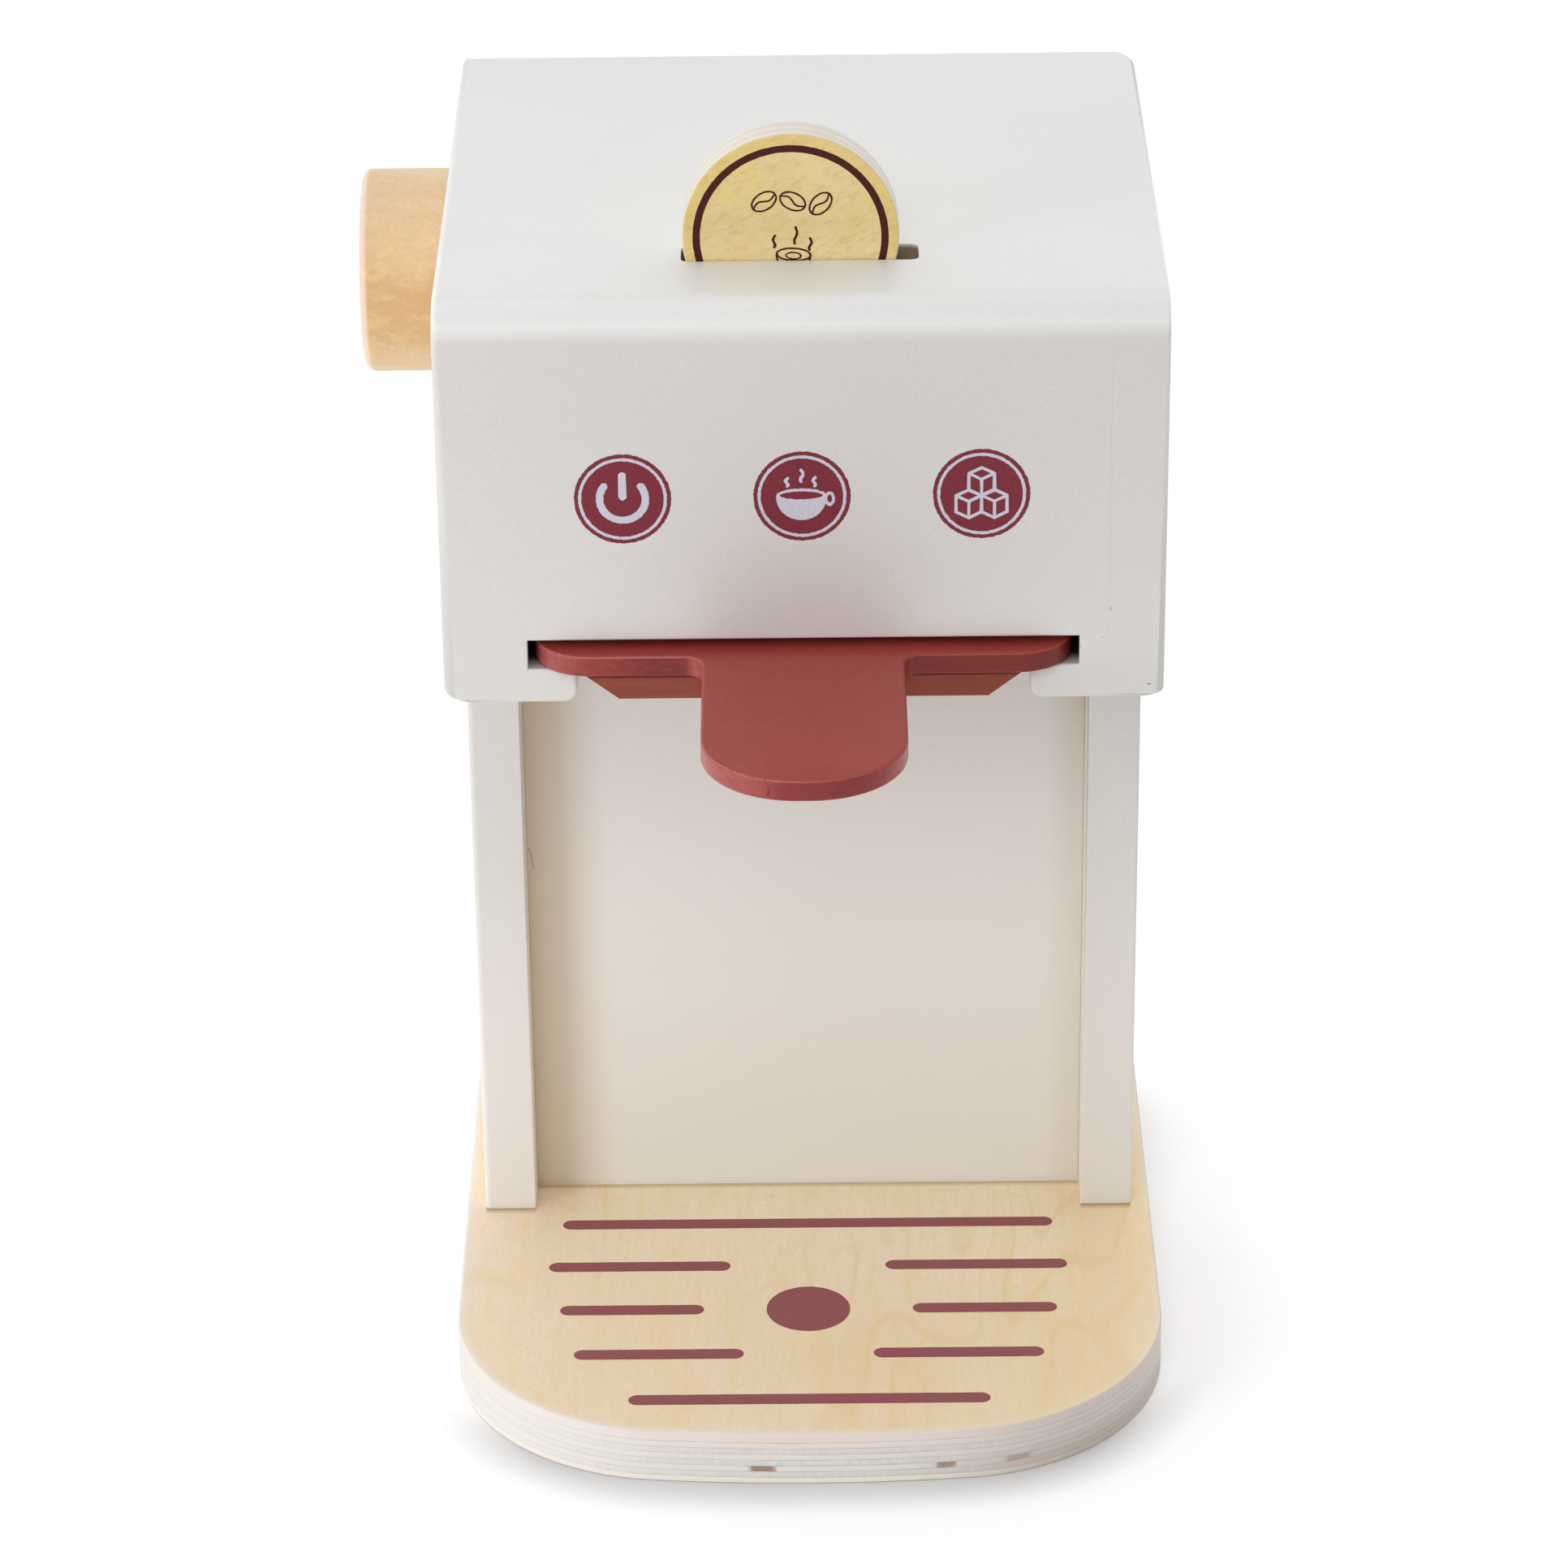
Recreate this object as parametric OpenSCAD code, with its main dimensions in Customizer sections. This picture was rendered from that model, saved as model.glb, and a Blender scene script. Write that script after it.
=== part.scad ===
// Toy coffee maker: painted board body on a plywood base, with a sliding portafilter,
// a coin token in the top and a turning knob on the left cheek.
// +X is the machine's right as seen from the front, -Y is the front, +Z is up.
// The origin is the centre of the base plate's underside.

/* [Base plate] */
// Width of the base plate
base_w = 138; // [136:1:150]
// Depth of the base plate
base_d = 152; // [150:1:170]
// Thickness of the nine-ply base plate
base_t = 11; // [9:0.5:15]
// Radius of the two front corners in plan
base_corner_r = 43; // [30:1:50]
// Radius of the shallow bow along the front edge
base_bow_r = 300; // [200:10:600]
// Radius of the two rear corners in plan
base_rear_r = 10; // [2:1:20]

/* [Body boards] */
// Width over the two side boards
body_w = 130.4; // [126:0.4:134]
// Height of the body above the base plate
body_h = 222.5; // [210:0.5:240]
// Thickness of every body board
board_t = 10.2; // [9:0.2:11]
// Depth of the head, front to back
head_d = 129.4; // [120:0.2:132]
// Height of the head
head_h = 77; // [70:0.5:90]
// Depth of the column below the head
column_d = 64.4; // [58:0.2:70]
// How far the column's front panel sits behind the side boards' front edges
column_recess = 9.4; // [4:0.2:14]
// Radius of the bend between the head's front and top
bend_r = 8; // [3:0.5:9]
// Radius of the head's lower outer edge on the left side board
left_lower_r = 4.5; // [1:0.5:6]
// Radius of the head's lower outer edge on the right side board
right_lower_r = 3; // [1:0.5:6]
// Radius of the body's other eased edges
edge_r = 1.2; // [0.4:0.1:2]
// Radius of the right side board's outer edges
right_edge_r = 0.5; // [0.2:0.1:2]
// Radius of the head's rear top edge
rear_top_r = 0.4; // [0.2:0.1:2]
// Radius of the column's inner front edges
post_inner_r = 0.3; // [0.1:0.1:2]
// Radius of the left side board's rear edge
left_rear_r = 2; // [1:0.5:5]
// Radius of the right side board's rear edge
right_rear_r = 3.5; // [1:0.5:5]
// How far the body stands in from the base plate's rear edge
rear_margin = 3.6; // [2:0.2:8]

/* [Portafilter runners] */
// Distance between the two runner ledges
ledge_gap = 82.2; // [70:0.2:90]
// Distance between the two walls of the portafilter slot
slot_w = 99.6; // [98.4:0.2:104]
// Thickness of the runner ledges
ledge_t = 6.9; // [5:0.1:8]
// Height of the portafilter slot
slot_h = 5.6; // [5:0.2:8]
// Radius on each ledge's lower inner edge
ledge_r = 3; // [0.5:0.5:4]
// Radius of the small eased edges round the slots
slot_edge_r = 0.5; // [0.1:0.1:1]

/* [Portafilter] */
// Thickness of the portafilter plate
plate_t = 4; // [3:0.2:4.6]
// Width of the plate where it runs in the slot
plate_w = 97.4; // [92:0.2:98]
// How far the plate's front edge stands out of the head
plate_proud = 3.8; // [0:0.2:8]
// Radius of the plate's corners
plate_corner_r = 10; // [4:1:14]
// Width of the handle tongue
tongue_w = 36.4; // [30:0.1:44]
// How far the handle tongue reaches in front of the plate
tongue_reach = 50.3; // [30:0.1:60]
// Radius of the tongue's two nose corners
tongue_nose_r = 17; // [10:0.5:18]
// Radius of the hollow corners where the tongue meets the plate
tongue_root_r = 3.4; // [1:0.2:6]
// Length of the filter basket block under the plate
basket_l = 60; // [40:1:70]
// Thickness of the filter basket block
basket_t = 5; // [4:0.2:7]
// Width of the basket block where it meets the plate
basket_top_w = 79.8; // [70:0.2:81]
// Width of the basket block along its lower face
basket_bottom_w = 66.8; // [55:0.2:78]
// How far the basket block's front sits behind the plate's front edge
basket_set_back = 1; // [0:0.2:6]

/* [Token] */
// Diameter of the wooden token
token_d = 38.8; // [36:0.2:40]
// Thickness of the wooden token
token_t = 6.8; // [4:0.2:6.8]
// Length of the token slot
token_slot_l = 42.6; // [41:0.2:46]
// Width of the token slot
token_slot_w = 7.4; // [7:0.2:9]
// Radius of the token slot's corners
token_slot_r = 1.5; // [0.5:0.1:3]
// Distance from the head's front face to the middle of the token slot
token_slot_y = 25.6; // [20:0.2:60]
// Height of the token's centre above the head's top
token_rise = 4.5; // [0:0.5:8]
// How far the token has slid to the left in its slot
token_shift = 1.6; // [0:0.1:1.8]

/* [Knob] */
// Diameter of the knob
knob_d = 38.8; // [30:0.2:42]
// Thickness of the knob
knob_t = 18; // [12:0.5:24]
// Radius of the knob's outer rim
knob_rim_r = 1.8; // [0.5:0.1:3]
// Distance from the head's front face to the knob's axis
knob_y = 97; // [94:0.5:100]
// Height of the knob's axis above the floor
knob_z = 202.4; // [195:0.2:205]
// Diameter of the knob's wooden axle
axle_d = 8; // [6:0.5:10]

/* [Hidden] */
$fn = 96;

paint = [0.90, 0.88, 0.85];
maple = [0.93, 0.84, 0.67];
beech = [0.91, 0.76, 0.57];
red = [0.63, 0.31, 0.28];
brown = [0.63, 0.31, 0.23];
token_yellow = [0.90, 0.81, 0.55];
steel = [0.72, 0.72, 0.74];

eps = 0.01;                    // overlap that keeps cuts clean
far = 400;                     // longer than anything in the model
run_gap = 0.3;                 // gap between faces that slide or turn past each other
seat_gap = 0.1;                // gap under a piece that rests on a ledge
glue_gap = 0.05;               // radial gap round a glued dowel or a driven screw
axle_gap = 0.08;               // radial gap of the turning axle

// Planes of the body
rear_y = base_d / 2 - rear_margin;
front_y = rear_y - head_d;
column_y = rear_y - column_d;
column_panel_y = column_y + column_recess;
top_z = base_t + body_h;
head_z = top_z - head_h;
ceiling_z = top_z - board_t;
inner_w = body_w - 2 * board_t;
ledge_z = head_z + ledge_t;
slot_top_z = ledge_z + slot_h;

// Planes of the portafilter
plate_front_y = front_y - plate_proud;
plate_rear_y = column_panel_y - run_gap;
plate_z = ledge_z + seat_gap;
tongue_y = plate_front_y - tongue_reach;
basket_y = plate_front_y + basket_set_back;

// Token and its pocket
slot_centre_y = front_y + token_slot_y;
token_z = top_z + token_rise;
pocket_z = token_z - token_d / 2 - seat_gap;
token_block_w = 62;
token_block_d = 24;
token_block_t = 10;
token_edge_r = 0.4;

// Knob, axle and collar
knob_axis_y = front_y + knob_y;
knob_inner_x = -body_w / 2 - run_gap;
knob_bore_depth = 13;
knob_inner_r = 0.8;
collar_d = 18;
collar_t = 8;
collar_x = -body_w / 2 + board_t + run_gap;

// Dowels between the side boards and the cross panels
dowel_d = 6;
dowel_l = 24;
dowel_in_side = 7;
dowel_chamfer = 0.6;
dowel_places = [[front_y + board_t / 2, slot_top_z + 12], [front_y + board_t / 2, ceiling_z - 14],
                [front_y + 36, top_z - board_t / 2], [rear_y - 36, top_z - board_t / 2],
                [column_panel_y + board_t / 2, base_t + 40], [column_panel_y + board_t / 2, head_z - 40],
                [rear_y - board_t / 2, base_t + 50], [rear_y - board_t / 2, head_z + 14]];

// Countersunk screws up through the base plate
screw_d = 4;
screw_l = 34;
screw_head_d = 8;
screw_head_h = 2.2;
screw_sunk = 0.8;
screw_tip_l = 5;
screw_recess_d = 3.6;
screw_recess_w = 0.9;
screw_recess_h = 1.4;
screw_x = body_w / 2 - board_t / 2;
screw_places = [[-screw_x, column_y + 10], [-screw_x, rear_y - 10],
                [screw_x, column_y + 10], [screw_x, rear_y - 10],
                [0, column_panel_y + board_t / 2], [0, rear_y - board_t / 2]];

// Rectangle with its corner at the origin and rounded corners
module rounded_rect(w, h, r) {
    translate([r, 0]) square([w - 2 * r, h]);
    translate([0, r]) square([w, h - 2 * r]);
    for (x = [r, w - r], y = [r, h - r]) translate([x, y]) circle(r);
}

// What a round corner removes from a square one: the corner is at the origin,
// and the material lies towards +X and +Y
module corner_waste(r) {
    difference() {
        translate([-eps, -eps]) square(r + eps);
        translate([r, r]) circle(r);
    }
}

// Lays a Y-Z outline in the Y-Z plane and gives it a thickness along +X from x
module along_x(x, length) {
    translate([x, 0, 0]) rotate([90, 0, 90]) linear_extrude(length) children();
}

// Lays an X-Z outline in the X-Z plane and gives it a length along +Y from y
module along_y(y, length) {
    translate([0, y + length, 0]) rotate([90, 0, 0]) linear_extrude(length) children();
}

module at_places(places) {
    for (p = places) translate([p[0], p[1], 0]) children();
}

// Front corner of the base plate: the centre of its arc, which meets the bow smoothly
bow_y = -base_d / 2 + base_bow_r;
corner_x = base_w / 2 - base_corner_r;
corner_y = bow_y - sqrt(pow(base_bow_r - base_corner_r, 2) - pow(corner_x, 2));
bow_half_w = base_bow_r * corner_x / (base_bow_r - base_corner_r);

module base_outline() {
    intersection() {
        translate([0, bow_y]) circle(base_bow_r, $fn = 720);
        translate([-bow_half_w, -base_d / 2 - 1]) square([2 * bow_half_w, corner_y + base_d / 2 + 2]);
    }
    for (side = [-1, 1]) translate([side * corner_x, corner_y]) circle(base_corner_r, $fn = 180);
    difference() {
        translate([-base_w / 2, corner_y]) square([base_w, base_d / 2 - corner_y]);
        for (side = [0, 1])
            mirror([side, 0]) translate([-base_w / 2, base_d / 2]) mirror([0, 1]) corner_waste(base_rear_r);
    }
}

// Countersunk clearance hole through the base plate, and the pilot hole above it
module screw_hole() {
    translate([0, 0, -eps]) cylinder(d = screw_head_d + 0.4, h = screw_sunk + eps);
    translate([0, 0, screw_sunk - eps])
        cylinder(d1 = screw_head_d + 0.4, d2 = screw_d + 2 * glue_gap, h = screw_head_h);
    cylinder(d = screw_d + 2 * glue_gap, h = screw_sunk + screw_l);
}

module base_plate() {
    color(maple) difference() {
        linear_extrude(base_t) base_outline();
        at_places(screw_places) screw_hole();
    }
}

module screw() {
    shank_l = screw_l - screw_head_h - screw_tip_l;
    difference() {
        union() {
            cylinder(d1 = screw_head_d, d2 = screw_d, h = screw_head_h);
            translate([0, 0, screw_head_h]) cylinder(d = screw_d, h = shank_l);
            translate([0, 0, screw_head_h + shank_l]) cylinder(d1 = screw_d, d2 = 0.6, h = screw_tip_l);
        }
        for (turn = [0, 90]) rotate(turn)
            translate([-screw_recess_d / 2, -screw_recess_w / 2, -eps])
                cube([screw_recess_d, screw_recess_w, screw_recess_h]);
    }
}

module base_screws() {
    color(steel) at_places(screw_places) translate([0, 0, screw_sunk]) screw();
}

// Inverted-L outline of a side board: Y across, Z up
module side_outline() {
    difference() {
        union() {
            translate([column_y, base_t]) square([column_d, body_h]);
            translate([front_y, head_z]) square([head_d, head_h]);
        }
        translate([front_y, top_z]) mirror([0, 1]) corner_waste(bend_r);
        translate([front_y, head_z]) corner_waste(edge_r);
        translate([rear_y, top_z]) rotate(180) corner_waste(rear_top_r);
    }
}

// What easing removes along the outer edges of the board on the -X side
module outer_edge_waste(lower_r, outer_r, rear_r) {
    outer_x = -body_w / 2;
    // lower edge of the head
    along_y(front_y - eps, column_y - front_y + eps) translate([outer_x, head_z]) corner_waste(lower_r);
    // top edge, and the bend in front of it
    along_y(front_y + bend_r, head_d - bend_r + eps)
        translate([outer_x, top_z]) mirror([0, 1]) corner_waste(outer_r);
    translate([outer_x, front_y + bend_r, top_z - bend_r]) rotate([0, 90, 0]) rotate(180)
        rotate_extrude(angle = 90) translate([bend_r, 0]) mirror([1, 0]) corner_waste(outer_r);
    // front edge of the head
    translate([outer_x, front_y, head_z - eps]) linear_extrude(head_h - bend_r + eps) corner_waste(outer_r);
    // front edges of the column, outer and inner
    translate([outer_x, column_y, base_t - eps]) linear_extrude(head_z - base_t + eps) corner_waste(outer_r);
    translate([outer_x + board_t, column_y, base_t - eps])
        linear_extrude(head_z - base_t + eps) mirror([1, 0]) corner_waste(post_inner_r);
    // rear edge
    translate([outer_x, rear_y, base_t - eps])
        linear_extrude(body_h + 2 * eps) mirror([0, 1]) corner_waste(rear_r);
}

// Blind holes for the dowels, seen from the cross panels' ends on the -X side
module dowel_holes() {
    for (p = dowel_places)
        translate([-inner_w / 2 - dowel_in_side, p[0], p[1]]) rotate([0, 90, 0])
            cylinder(d = dowel_d + 2 * glue_gap, h = dowel_l);
}

module screw_pilots() {
    at_places(screw_places) screw_hole();
}

// Side board on the -X side, before its own holes
module side_board(lower_r, outer_r, rear_r) {
    difference() {
        along_x(-body_w / 2, board_t) side_outline();
        outer_edge_waste(lower_r, outer_r, rear_r);
        dowel_holes();
    }
}

module left_side_board() {
    color(paint) difference() {
        side_board(left_lower_r, edge_r, left_rear_r);
        screw_pilots();
        translate([-body_w / 2 - 1, knob_axis_y, knob_z]) rotate([0, 90, 0])
            cylinder(d = axle_d + 2 * axle_gap, h = board_t + 2);
    }
}

module right_side_board() {
    color(paint) difference() {
        mirror([1, 0, 0]) side_board(right_lower_r, right_edge_r, right_rear_r);
        screw_pilots();
    }
}

// Holes in a cross panel: dowels at both ends and screws from below
module panel_holes() {
    for (side = [0, 1]) mirror([side, 0, 0]) dowel_holes();
    screw_pilots();
}

module column_panel() {
    color(paint) difference() {
        translate([-inner_w / 2, column_panel_y, base_t]) cube([inner_w, board_t, ceiling_z - base_t]);
        panel_holes();
    }
}

module back_panel() {
    color(paint) difference() {
        translate([-inner_w / 2, rear_y - board_t, base_t]) cube([inner_w, board_t, ceiling_z - base_t]);
        panel_holes();
    }
}

module front_panel() {
    color(paint) difference() {
        translate([-inner_w / 2, front_y, slot_top_z]) cube([inner_w, board_t, ceiling_z - slot_top_z]);
        along_x(-slot_w / 2, slot_w) translate([front_y, slot_top_z]) corner_waste(slot_edge_r);
        panel_holes();
    }
}

module token_slot_outline() {
    translate([-token_slot_l / 2, slot_centre_y - token_slot_w / 2])
        rounded_rect(token_slot_l, token_slot_w, token_slot_r);
}

module top_panel() {
    color(paint) difference() {
        along_x(-inner_w / 2, inner_w) difference() {
            translate([front_y, ceiling_z]) square([head_d, board_t]);
            translate([front_y, top_z]) mirror([0, 1]) corner_waste(bend_r);
            translate([rear_y, top_z]) rotate(180) corner_waste(rear_top_r);
        }
        translate([0, 0, ceiling_z - 1]) linear_extrude(board_t + 2) token_slot_outline();
        panel_holes();
    }
}

// Block glued under the top panel, with the pocket that the token stands in
module token_block() {
    color(maple) difference() {
        translate([-token_block_w / 2, slot_centre_y - token_block_d / 2, ceiling_z - token_block_t])
            cube([token_block_w, token_block_d, token_block_t]);
        translate([0, 0, pocket_z]) linear_extrude(far) token_slot_outline();
    }
}

// Rebated runner on the -X side: a ledge below and the slot's wall above it
module runner() {
    difference() {
        along_y(front_y, column_panel_y - front_y) difference() {
            union() {
                translate([-inner_w / 2, head_z]) square([(inner_w - ledge_gap) / 2, ledge_t]);
                translate([-inner_w / 2, head_z]) square([(inner_w - slot_w) / 2, ledge_t + slot_h]);
            }
            translate([-ledge_gap / 2, head_z]) mirror([1, 0]) corner_waste(ledge_r);
            translate([-ledge_gap / 2, ledge_z]) rotate(180) corner_waste(slot_edge_r);
        }
        along_x(-inner_w / 2 - eps, inner_w / 2) translate([front_y, head_z]) corner_waste(edge_r);
    }
}

module left_runner() {
    color(paint) runner();
}

module right_runner() {
    color(paint) mirror([1, 0, 0]) runner();
}

// T-shaped plate in plan: a wide part that runs on the ledges, and the handle tongue
module plate_outline() {
    tongue_half = tongue_w / 2;
    nose_x = tongue_half - tongue_nose_r;
    nose_y = tongue_y + tongue_nose_r;
    translate([-plate_w / 2, plate_front_y])
        rounded_rect(plate_w, plate_rear_y - plate_front_y, plate_corner_r);
    translate([-tongue_half, nose_y]) square([tongue_w, plate_front_y - nose_y + 1]);
    translate([-nose_x, tongue_y]) square([2 * nose_x, tongue_nose_r + 1]);
    for (side = [-1, 1]) translate([side * nose_x, nose_y]) circle(tongue_nose_r);
    for (side = [0, 1])
        mirror([side, 0]) translate([tongue_half, plate_front_y]) mirror([0, 1]) corner_waste(tongue_root_r);
}

module portafilter_plate() {
    color(red) translate([0, 0, plate_z]) linear_extrude(plate_t) plate_outline();
}

// Tapered block under the plate, which hangs between the two ledges
module portafilter_basket() {
    color(brown) along_y(basket_y, basket_l) translate([0, plate_z])
        polygon([[-basket_top_w / 2, 0], [basket_top_w / 2, 0],
                 [basket_bottom_w / 2, -basket_t], [-basket_bottom_w / 2, -basket_t]]);
}

// Half outline of a disc with eased rims, for turning about its axis
module disc_profile(r, h, lower_r, upper_r) {
    difference() {
        square([r, h]);
        translate([r, 0]) mirror([1, 0]) corner_waste(lower_r);
        translate([r, h]) rotate(180) corner_waste(upper_r);
    }
}

module token() {
    color(token_yellow) translate([-token_shift, slot_centre_y + token_t / 2, token_z]) rotate([90, 0, 0])
        rotate_extrude($fn = 144) disc_profile(token_d / 2, token_t, token_edge_r, token_edge_r);
}

// Places a piece turned about +Z so that its +Z points out of the left side board
module on_knob_axis(x) {
    translate([x, knob_axis_y, knob_z]) rotate([0, -90, 0]) children();
}

module knob() {
    color(beech) on_knob_axis(knob_inner_x) difference() {
        rotate_extrude($fn = 144) disc_profile(knob_d / 2, knob_t, knob_inner_r, knob_rim_r);
        translate([0, 0, -1]) cylinder(d = axle_d + 2 * glue_gap, h = knob_bore_depth + 1);
    }
}

module knob_axle() {
    axle_l = knob_bore_depth + run_gap + board_t + run_gap + collar_t;
    color(beech) on_knob_axis(knob_inner_x - knob_bore_depth)
        mirror([0, 0, 1]) cylinder(d = axle_d, h = axle_l);
}

// Glued ring that keeps the axle from pulling out
module knob_collar() {
    color(beech) translate([collar_x, knob_axis_y, knob_z]) rotate([0, 90, 0]) difference() {
        cylinder(d = collar_d, h = collar_t);
        translate([0, 0, -1]) cylinder(d = axle_d + 2 * glue_gap, h = collar_t + 2);
    }
}

module dowel() {
    cylinder(d1 = dowel_d - 2 * dowel_chamfer, d2 = dowel_d, h = dowel_chamfer);
    translate([0, 0, dowel_chamfer]) cylinder(d = dowel_d, h = dowel_l - 2 * dowel_chamfer);
    translate([0, 0, dowel_l - dowel_chamfer])
        cylinder(d1 = dowel_d, d2 = dowel_d - 2 * dowel_chamfer, h = dowel_chamfer);
}

module panel_dowels() {
    color(beech) for (side = [0, 1], p = dowel_places)
        mirror([side, 0, 0])
            translate([-inner_w / 2 - dowel_in_side, p[0], p[1]]) rotate([0, 90, 0]) dowel();
}

base_plate();
left_side_board();
right_side_board();
column_panel();
back_panel();
front_panel();
top_panel();
left_runner();
right_runner();
token_block();
portafilter_plate();
portafilter_basket();
token();
knob();
knob_axle();
knob_collar();
base_screws();
panel_dowels();
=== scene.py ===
"""Looks of the wooden toy coffee maker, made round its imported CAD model. Lengths are in metres."""

from math import asin, copysign, cos, degrees, inf, pi, radians, sin, sqrt

import bmesh
import bpy
from mathutils import Matrix, Vector, geometry, noise

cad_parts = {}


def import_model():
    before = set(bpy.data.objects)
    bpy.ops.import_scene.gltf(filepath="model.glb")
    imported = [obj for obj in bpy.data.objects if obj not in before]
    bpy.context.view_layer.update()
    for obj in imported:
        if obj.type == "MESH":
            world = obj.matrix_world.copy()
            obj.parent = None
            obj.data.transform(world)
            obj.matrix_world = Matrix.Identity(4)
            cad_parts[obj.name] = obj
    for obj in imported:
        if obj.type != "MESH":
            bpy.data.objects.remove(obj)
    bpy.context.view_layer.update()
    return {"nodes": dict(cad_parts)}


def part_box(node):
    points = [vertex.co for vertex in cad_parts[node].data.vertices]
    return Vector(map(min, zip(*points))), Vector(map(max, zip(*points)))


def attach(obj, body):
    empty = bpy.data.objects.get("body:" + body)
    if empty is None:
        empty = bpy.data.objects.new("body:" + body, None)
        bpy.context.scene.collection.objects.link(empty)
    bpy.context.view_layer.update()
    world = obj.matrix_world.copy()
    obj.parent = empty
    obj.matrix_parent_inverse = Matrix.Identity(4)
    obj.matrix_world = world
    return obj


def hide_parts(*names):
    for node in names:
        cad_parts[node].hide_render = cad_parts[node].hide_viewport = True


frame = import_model()

MM = 0.001

BASE_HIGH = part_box("base_plate")[1]
BODY_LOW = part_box("left_side_board")[0]
BODY_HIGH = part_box("right_side_board")[1]
FRONT_LOW, FRONT_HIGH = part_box("front_panel")
COLUMN_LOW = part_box("column_panel")[0]
TOP_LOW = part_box("top_panel")[0]
RUNNER_LOW, RUNNER_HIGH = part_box("left_runner")
PLATE_LOW, PLATE_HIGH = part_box("portafilter_plate")
BASKET_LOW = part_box("portafilter_basket")[0]
TOKEN_LOW, TOKEN_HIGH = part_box("token")
TOKEN_CENTRE = (TOKEN_LOW + TOKEN_HIGH) / 2
KNOB_LOW, KNOB_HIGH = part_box("knob")
KNOB_CENTRE = (KNOB_LOW + KNOB_HIGH) / 2

TOLERANCE = 0.05 * MM
HALF_COLUMN = -COLUMN_LOW.x                 # half the width of the column panel
COLUMN_START = COLUMN_LOW.y - 9.4 * MM      # front edges of the column's side boards
LEDGE_TOP = PLATE_LOW.z - 0.1 * MM          # the runners' ledges, under the portafilter plate
SLOT_X = (-22 * MM, 22 * MM)                # ranges that hold the token's slot
SLOT_Y = (-36 * MM, -27 * MM)


# ---- node graphs

def srgb(red, green, blue):
    """A display colour of 0 to 255 as the linear colour that Blender's sockets take."""
    def linear(value):
        share = value / 255
        return share / 12.92 if share <= 0.04045 else ((share + 0.055) / 1.055) ** 2.4
    return (linear(red), linear(green), linear(blue), 1.0)


def grey(level):
    """A linear grey."""
    return (level, level, level, 1.0)


def operator(operation):
    """A method of Value that adds a math node."""
    def method(value, other=0.0):
        return value.graph.math(operation, value, other)
    return method


class Value:
    """What a node gives out. Arithmetic on it, and its methods, add the nodes that work them out."""

    def __init__(self, graph, socket):
        self.graph = graph
        self.socket = socket

    __add__ = operator("ADD")
    __sub__ = operator("SUBTRACT")
    __mul__ = operator("MULTIPLY")
    __truediv__ = operator("DIVIDE")
    __gt__ = operator("GREATER_THAN")
    __lt__ = operator("LESS_THAN")
    __abs__ = operator("ABSOLUTE")
    fract = operator("FRACT")

    def __rsub__(self, other):
        return self.graph.math("SUBTRACT", other, self)

    def within(self, low, high):
        """1 between low and high, and 0 elsewhere."""
        return (self > low) * (self < high)

    def step(self, low, high):
        """0 below low, 1 above high, and a smooth rise between them. High may be below low."""
        inputs = {"Value": self, "From Min": low, "From Max": high}
        return self.graph.add("MapRange", 0, inputs, interpolation_type="SMOOTHSTEP")

    def scale(self, low, high, start=0.0, end=1.0):
        """Turns start to end into low to high."""
        inputs = {"Value": self, "From Min": start, "From Max": end, "To Min": low, "To Max": high}
        return self.graph.add("MapRange", 0, inputs)

    def tint(self, colour, share, blend="MIX"):
        """This colour, tinted with another one by a share of 0 to 1."""
        return self.graph.mix(share, self, colour, blend)


def distance(u, v):
    """How far the point (u, v) is from (0, 0), for two values of one graph."""
    return u.graph.math("SQRT", u * u + v * v)


class Graph:
    """A tree of shader nodes, laid on coordinates in metres."""

    def __init__(self, tree, coordinates="Object"):
        self.tree = tree
        self.place = self.add("TexCoord", coordinates)
        self.x, self.y, self.z = self.parts(self.place)

    def set(self, node, key, value):
        if isinstance(value, Value):
            self.tree.links.new(value.socket, node.inputs[key])
        else:
            node.inputs[key].default_value = value

    def add(self, kind, output=0, inputs=None, **settings):
        """A new node, as the value that it gives out."""
        node = self.tree.nodes.new("ShaderNode" + kind)
        for key, value in settings.items():
            setattr(node, key, value)
        for key, value in (inputs or {}).items():
            self.set(node, key, value)
        return Value(self, node.outputs[output])

    def math(self, operation, first, second=0.0):
        return self.add("Math", 0, {0: first, 1: second}, operation=operation)

    def parts(self, vector):
        """The X, Y and Z of a vector."""
        return [self.add("SeparateXYZ", axis, {0: vector}) for axis in "XYZ"]

    def mix(self, share, first, second, blend="MIX"):
        """Two colours mixed. Each is a value, a display colour of three numbers or a linear one of four."""
        first, second = (
            srgb(*colour) if isinstance(colour, tuple) and len(colour) == 3 else colour
            for colour in (first, second)
        )
        return self.add("Mix", 2, {0: share, 6: first, 7: second}, data_type="RGBA", blend_type=blend)

    def noise(self, per_metre, detail=2.0, roughness=0.5, distortion=0.0, where=None):
        """Noise from 0 to 1. per_metre is its scale along X, Y and Z, or one number for all three."""
        scale = per_metre if isinstance(per_metre, tuple) else (per_metre,) * 3
        stretched = self.add("Mapping", 0, {"Vector": where or self.place, "Scale": scale})
        inputs = {"Vector": stretched, "Scale": 1.0, "Detail": detail}
        inputs.update({"Roughness": roughness, "Distortion": distortion})
        return self.add("TexNoise", 0, inputs)

    def looking(self):
        """1 for the rays that look at the studio: the camera's, mirrored ones and ones through glass."""
        found = self.add("LightPath", "Is Camera Ray")
        for kind in ("Is Glossy Ray", "Is Transmission Ray"):
            found = self.math("MAXIMUM", found, self.add("LightPath", kind))
        return found


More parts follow.
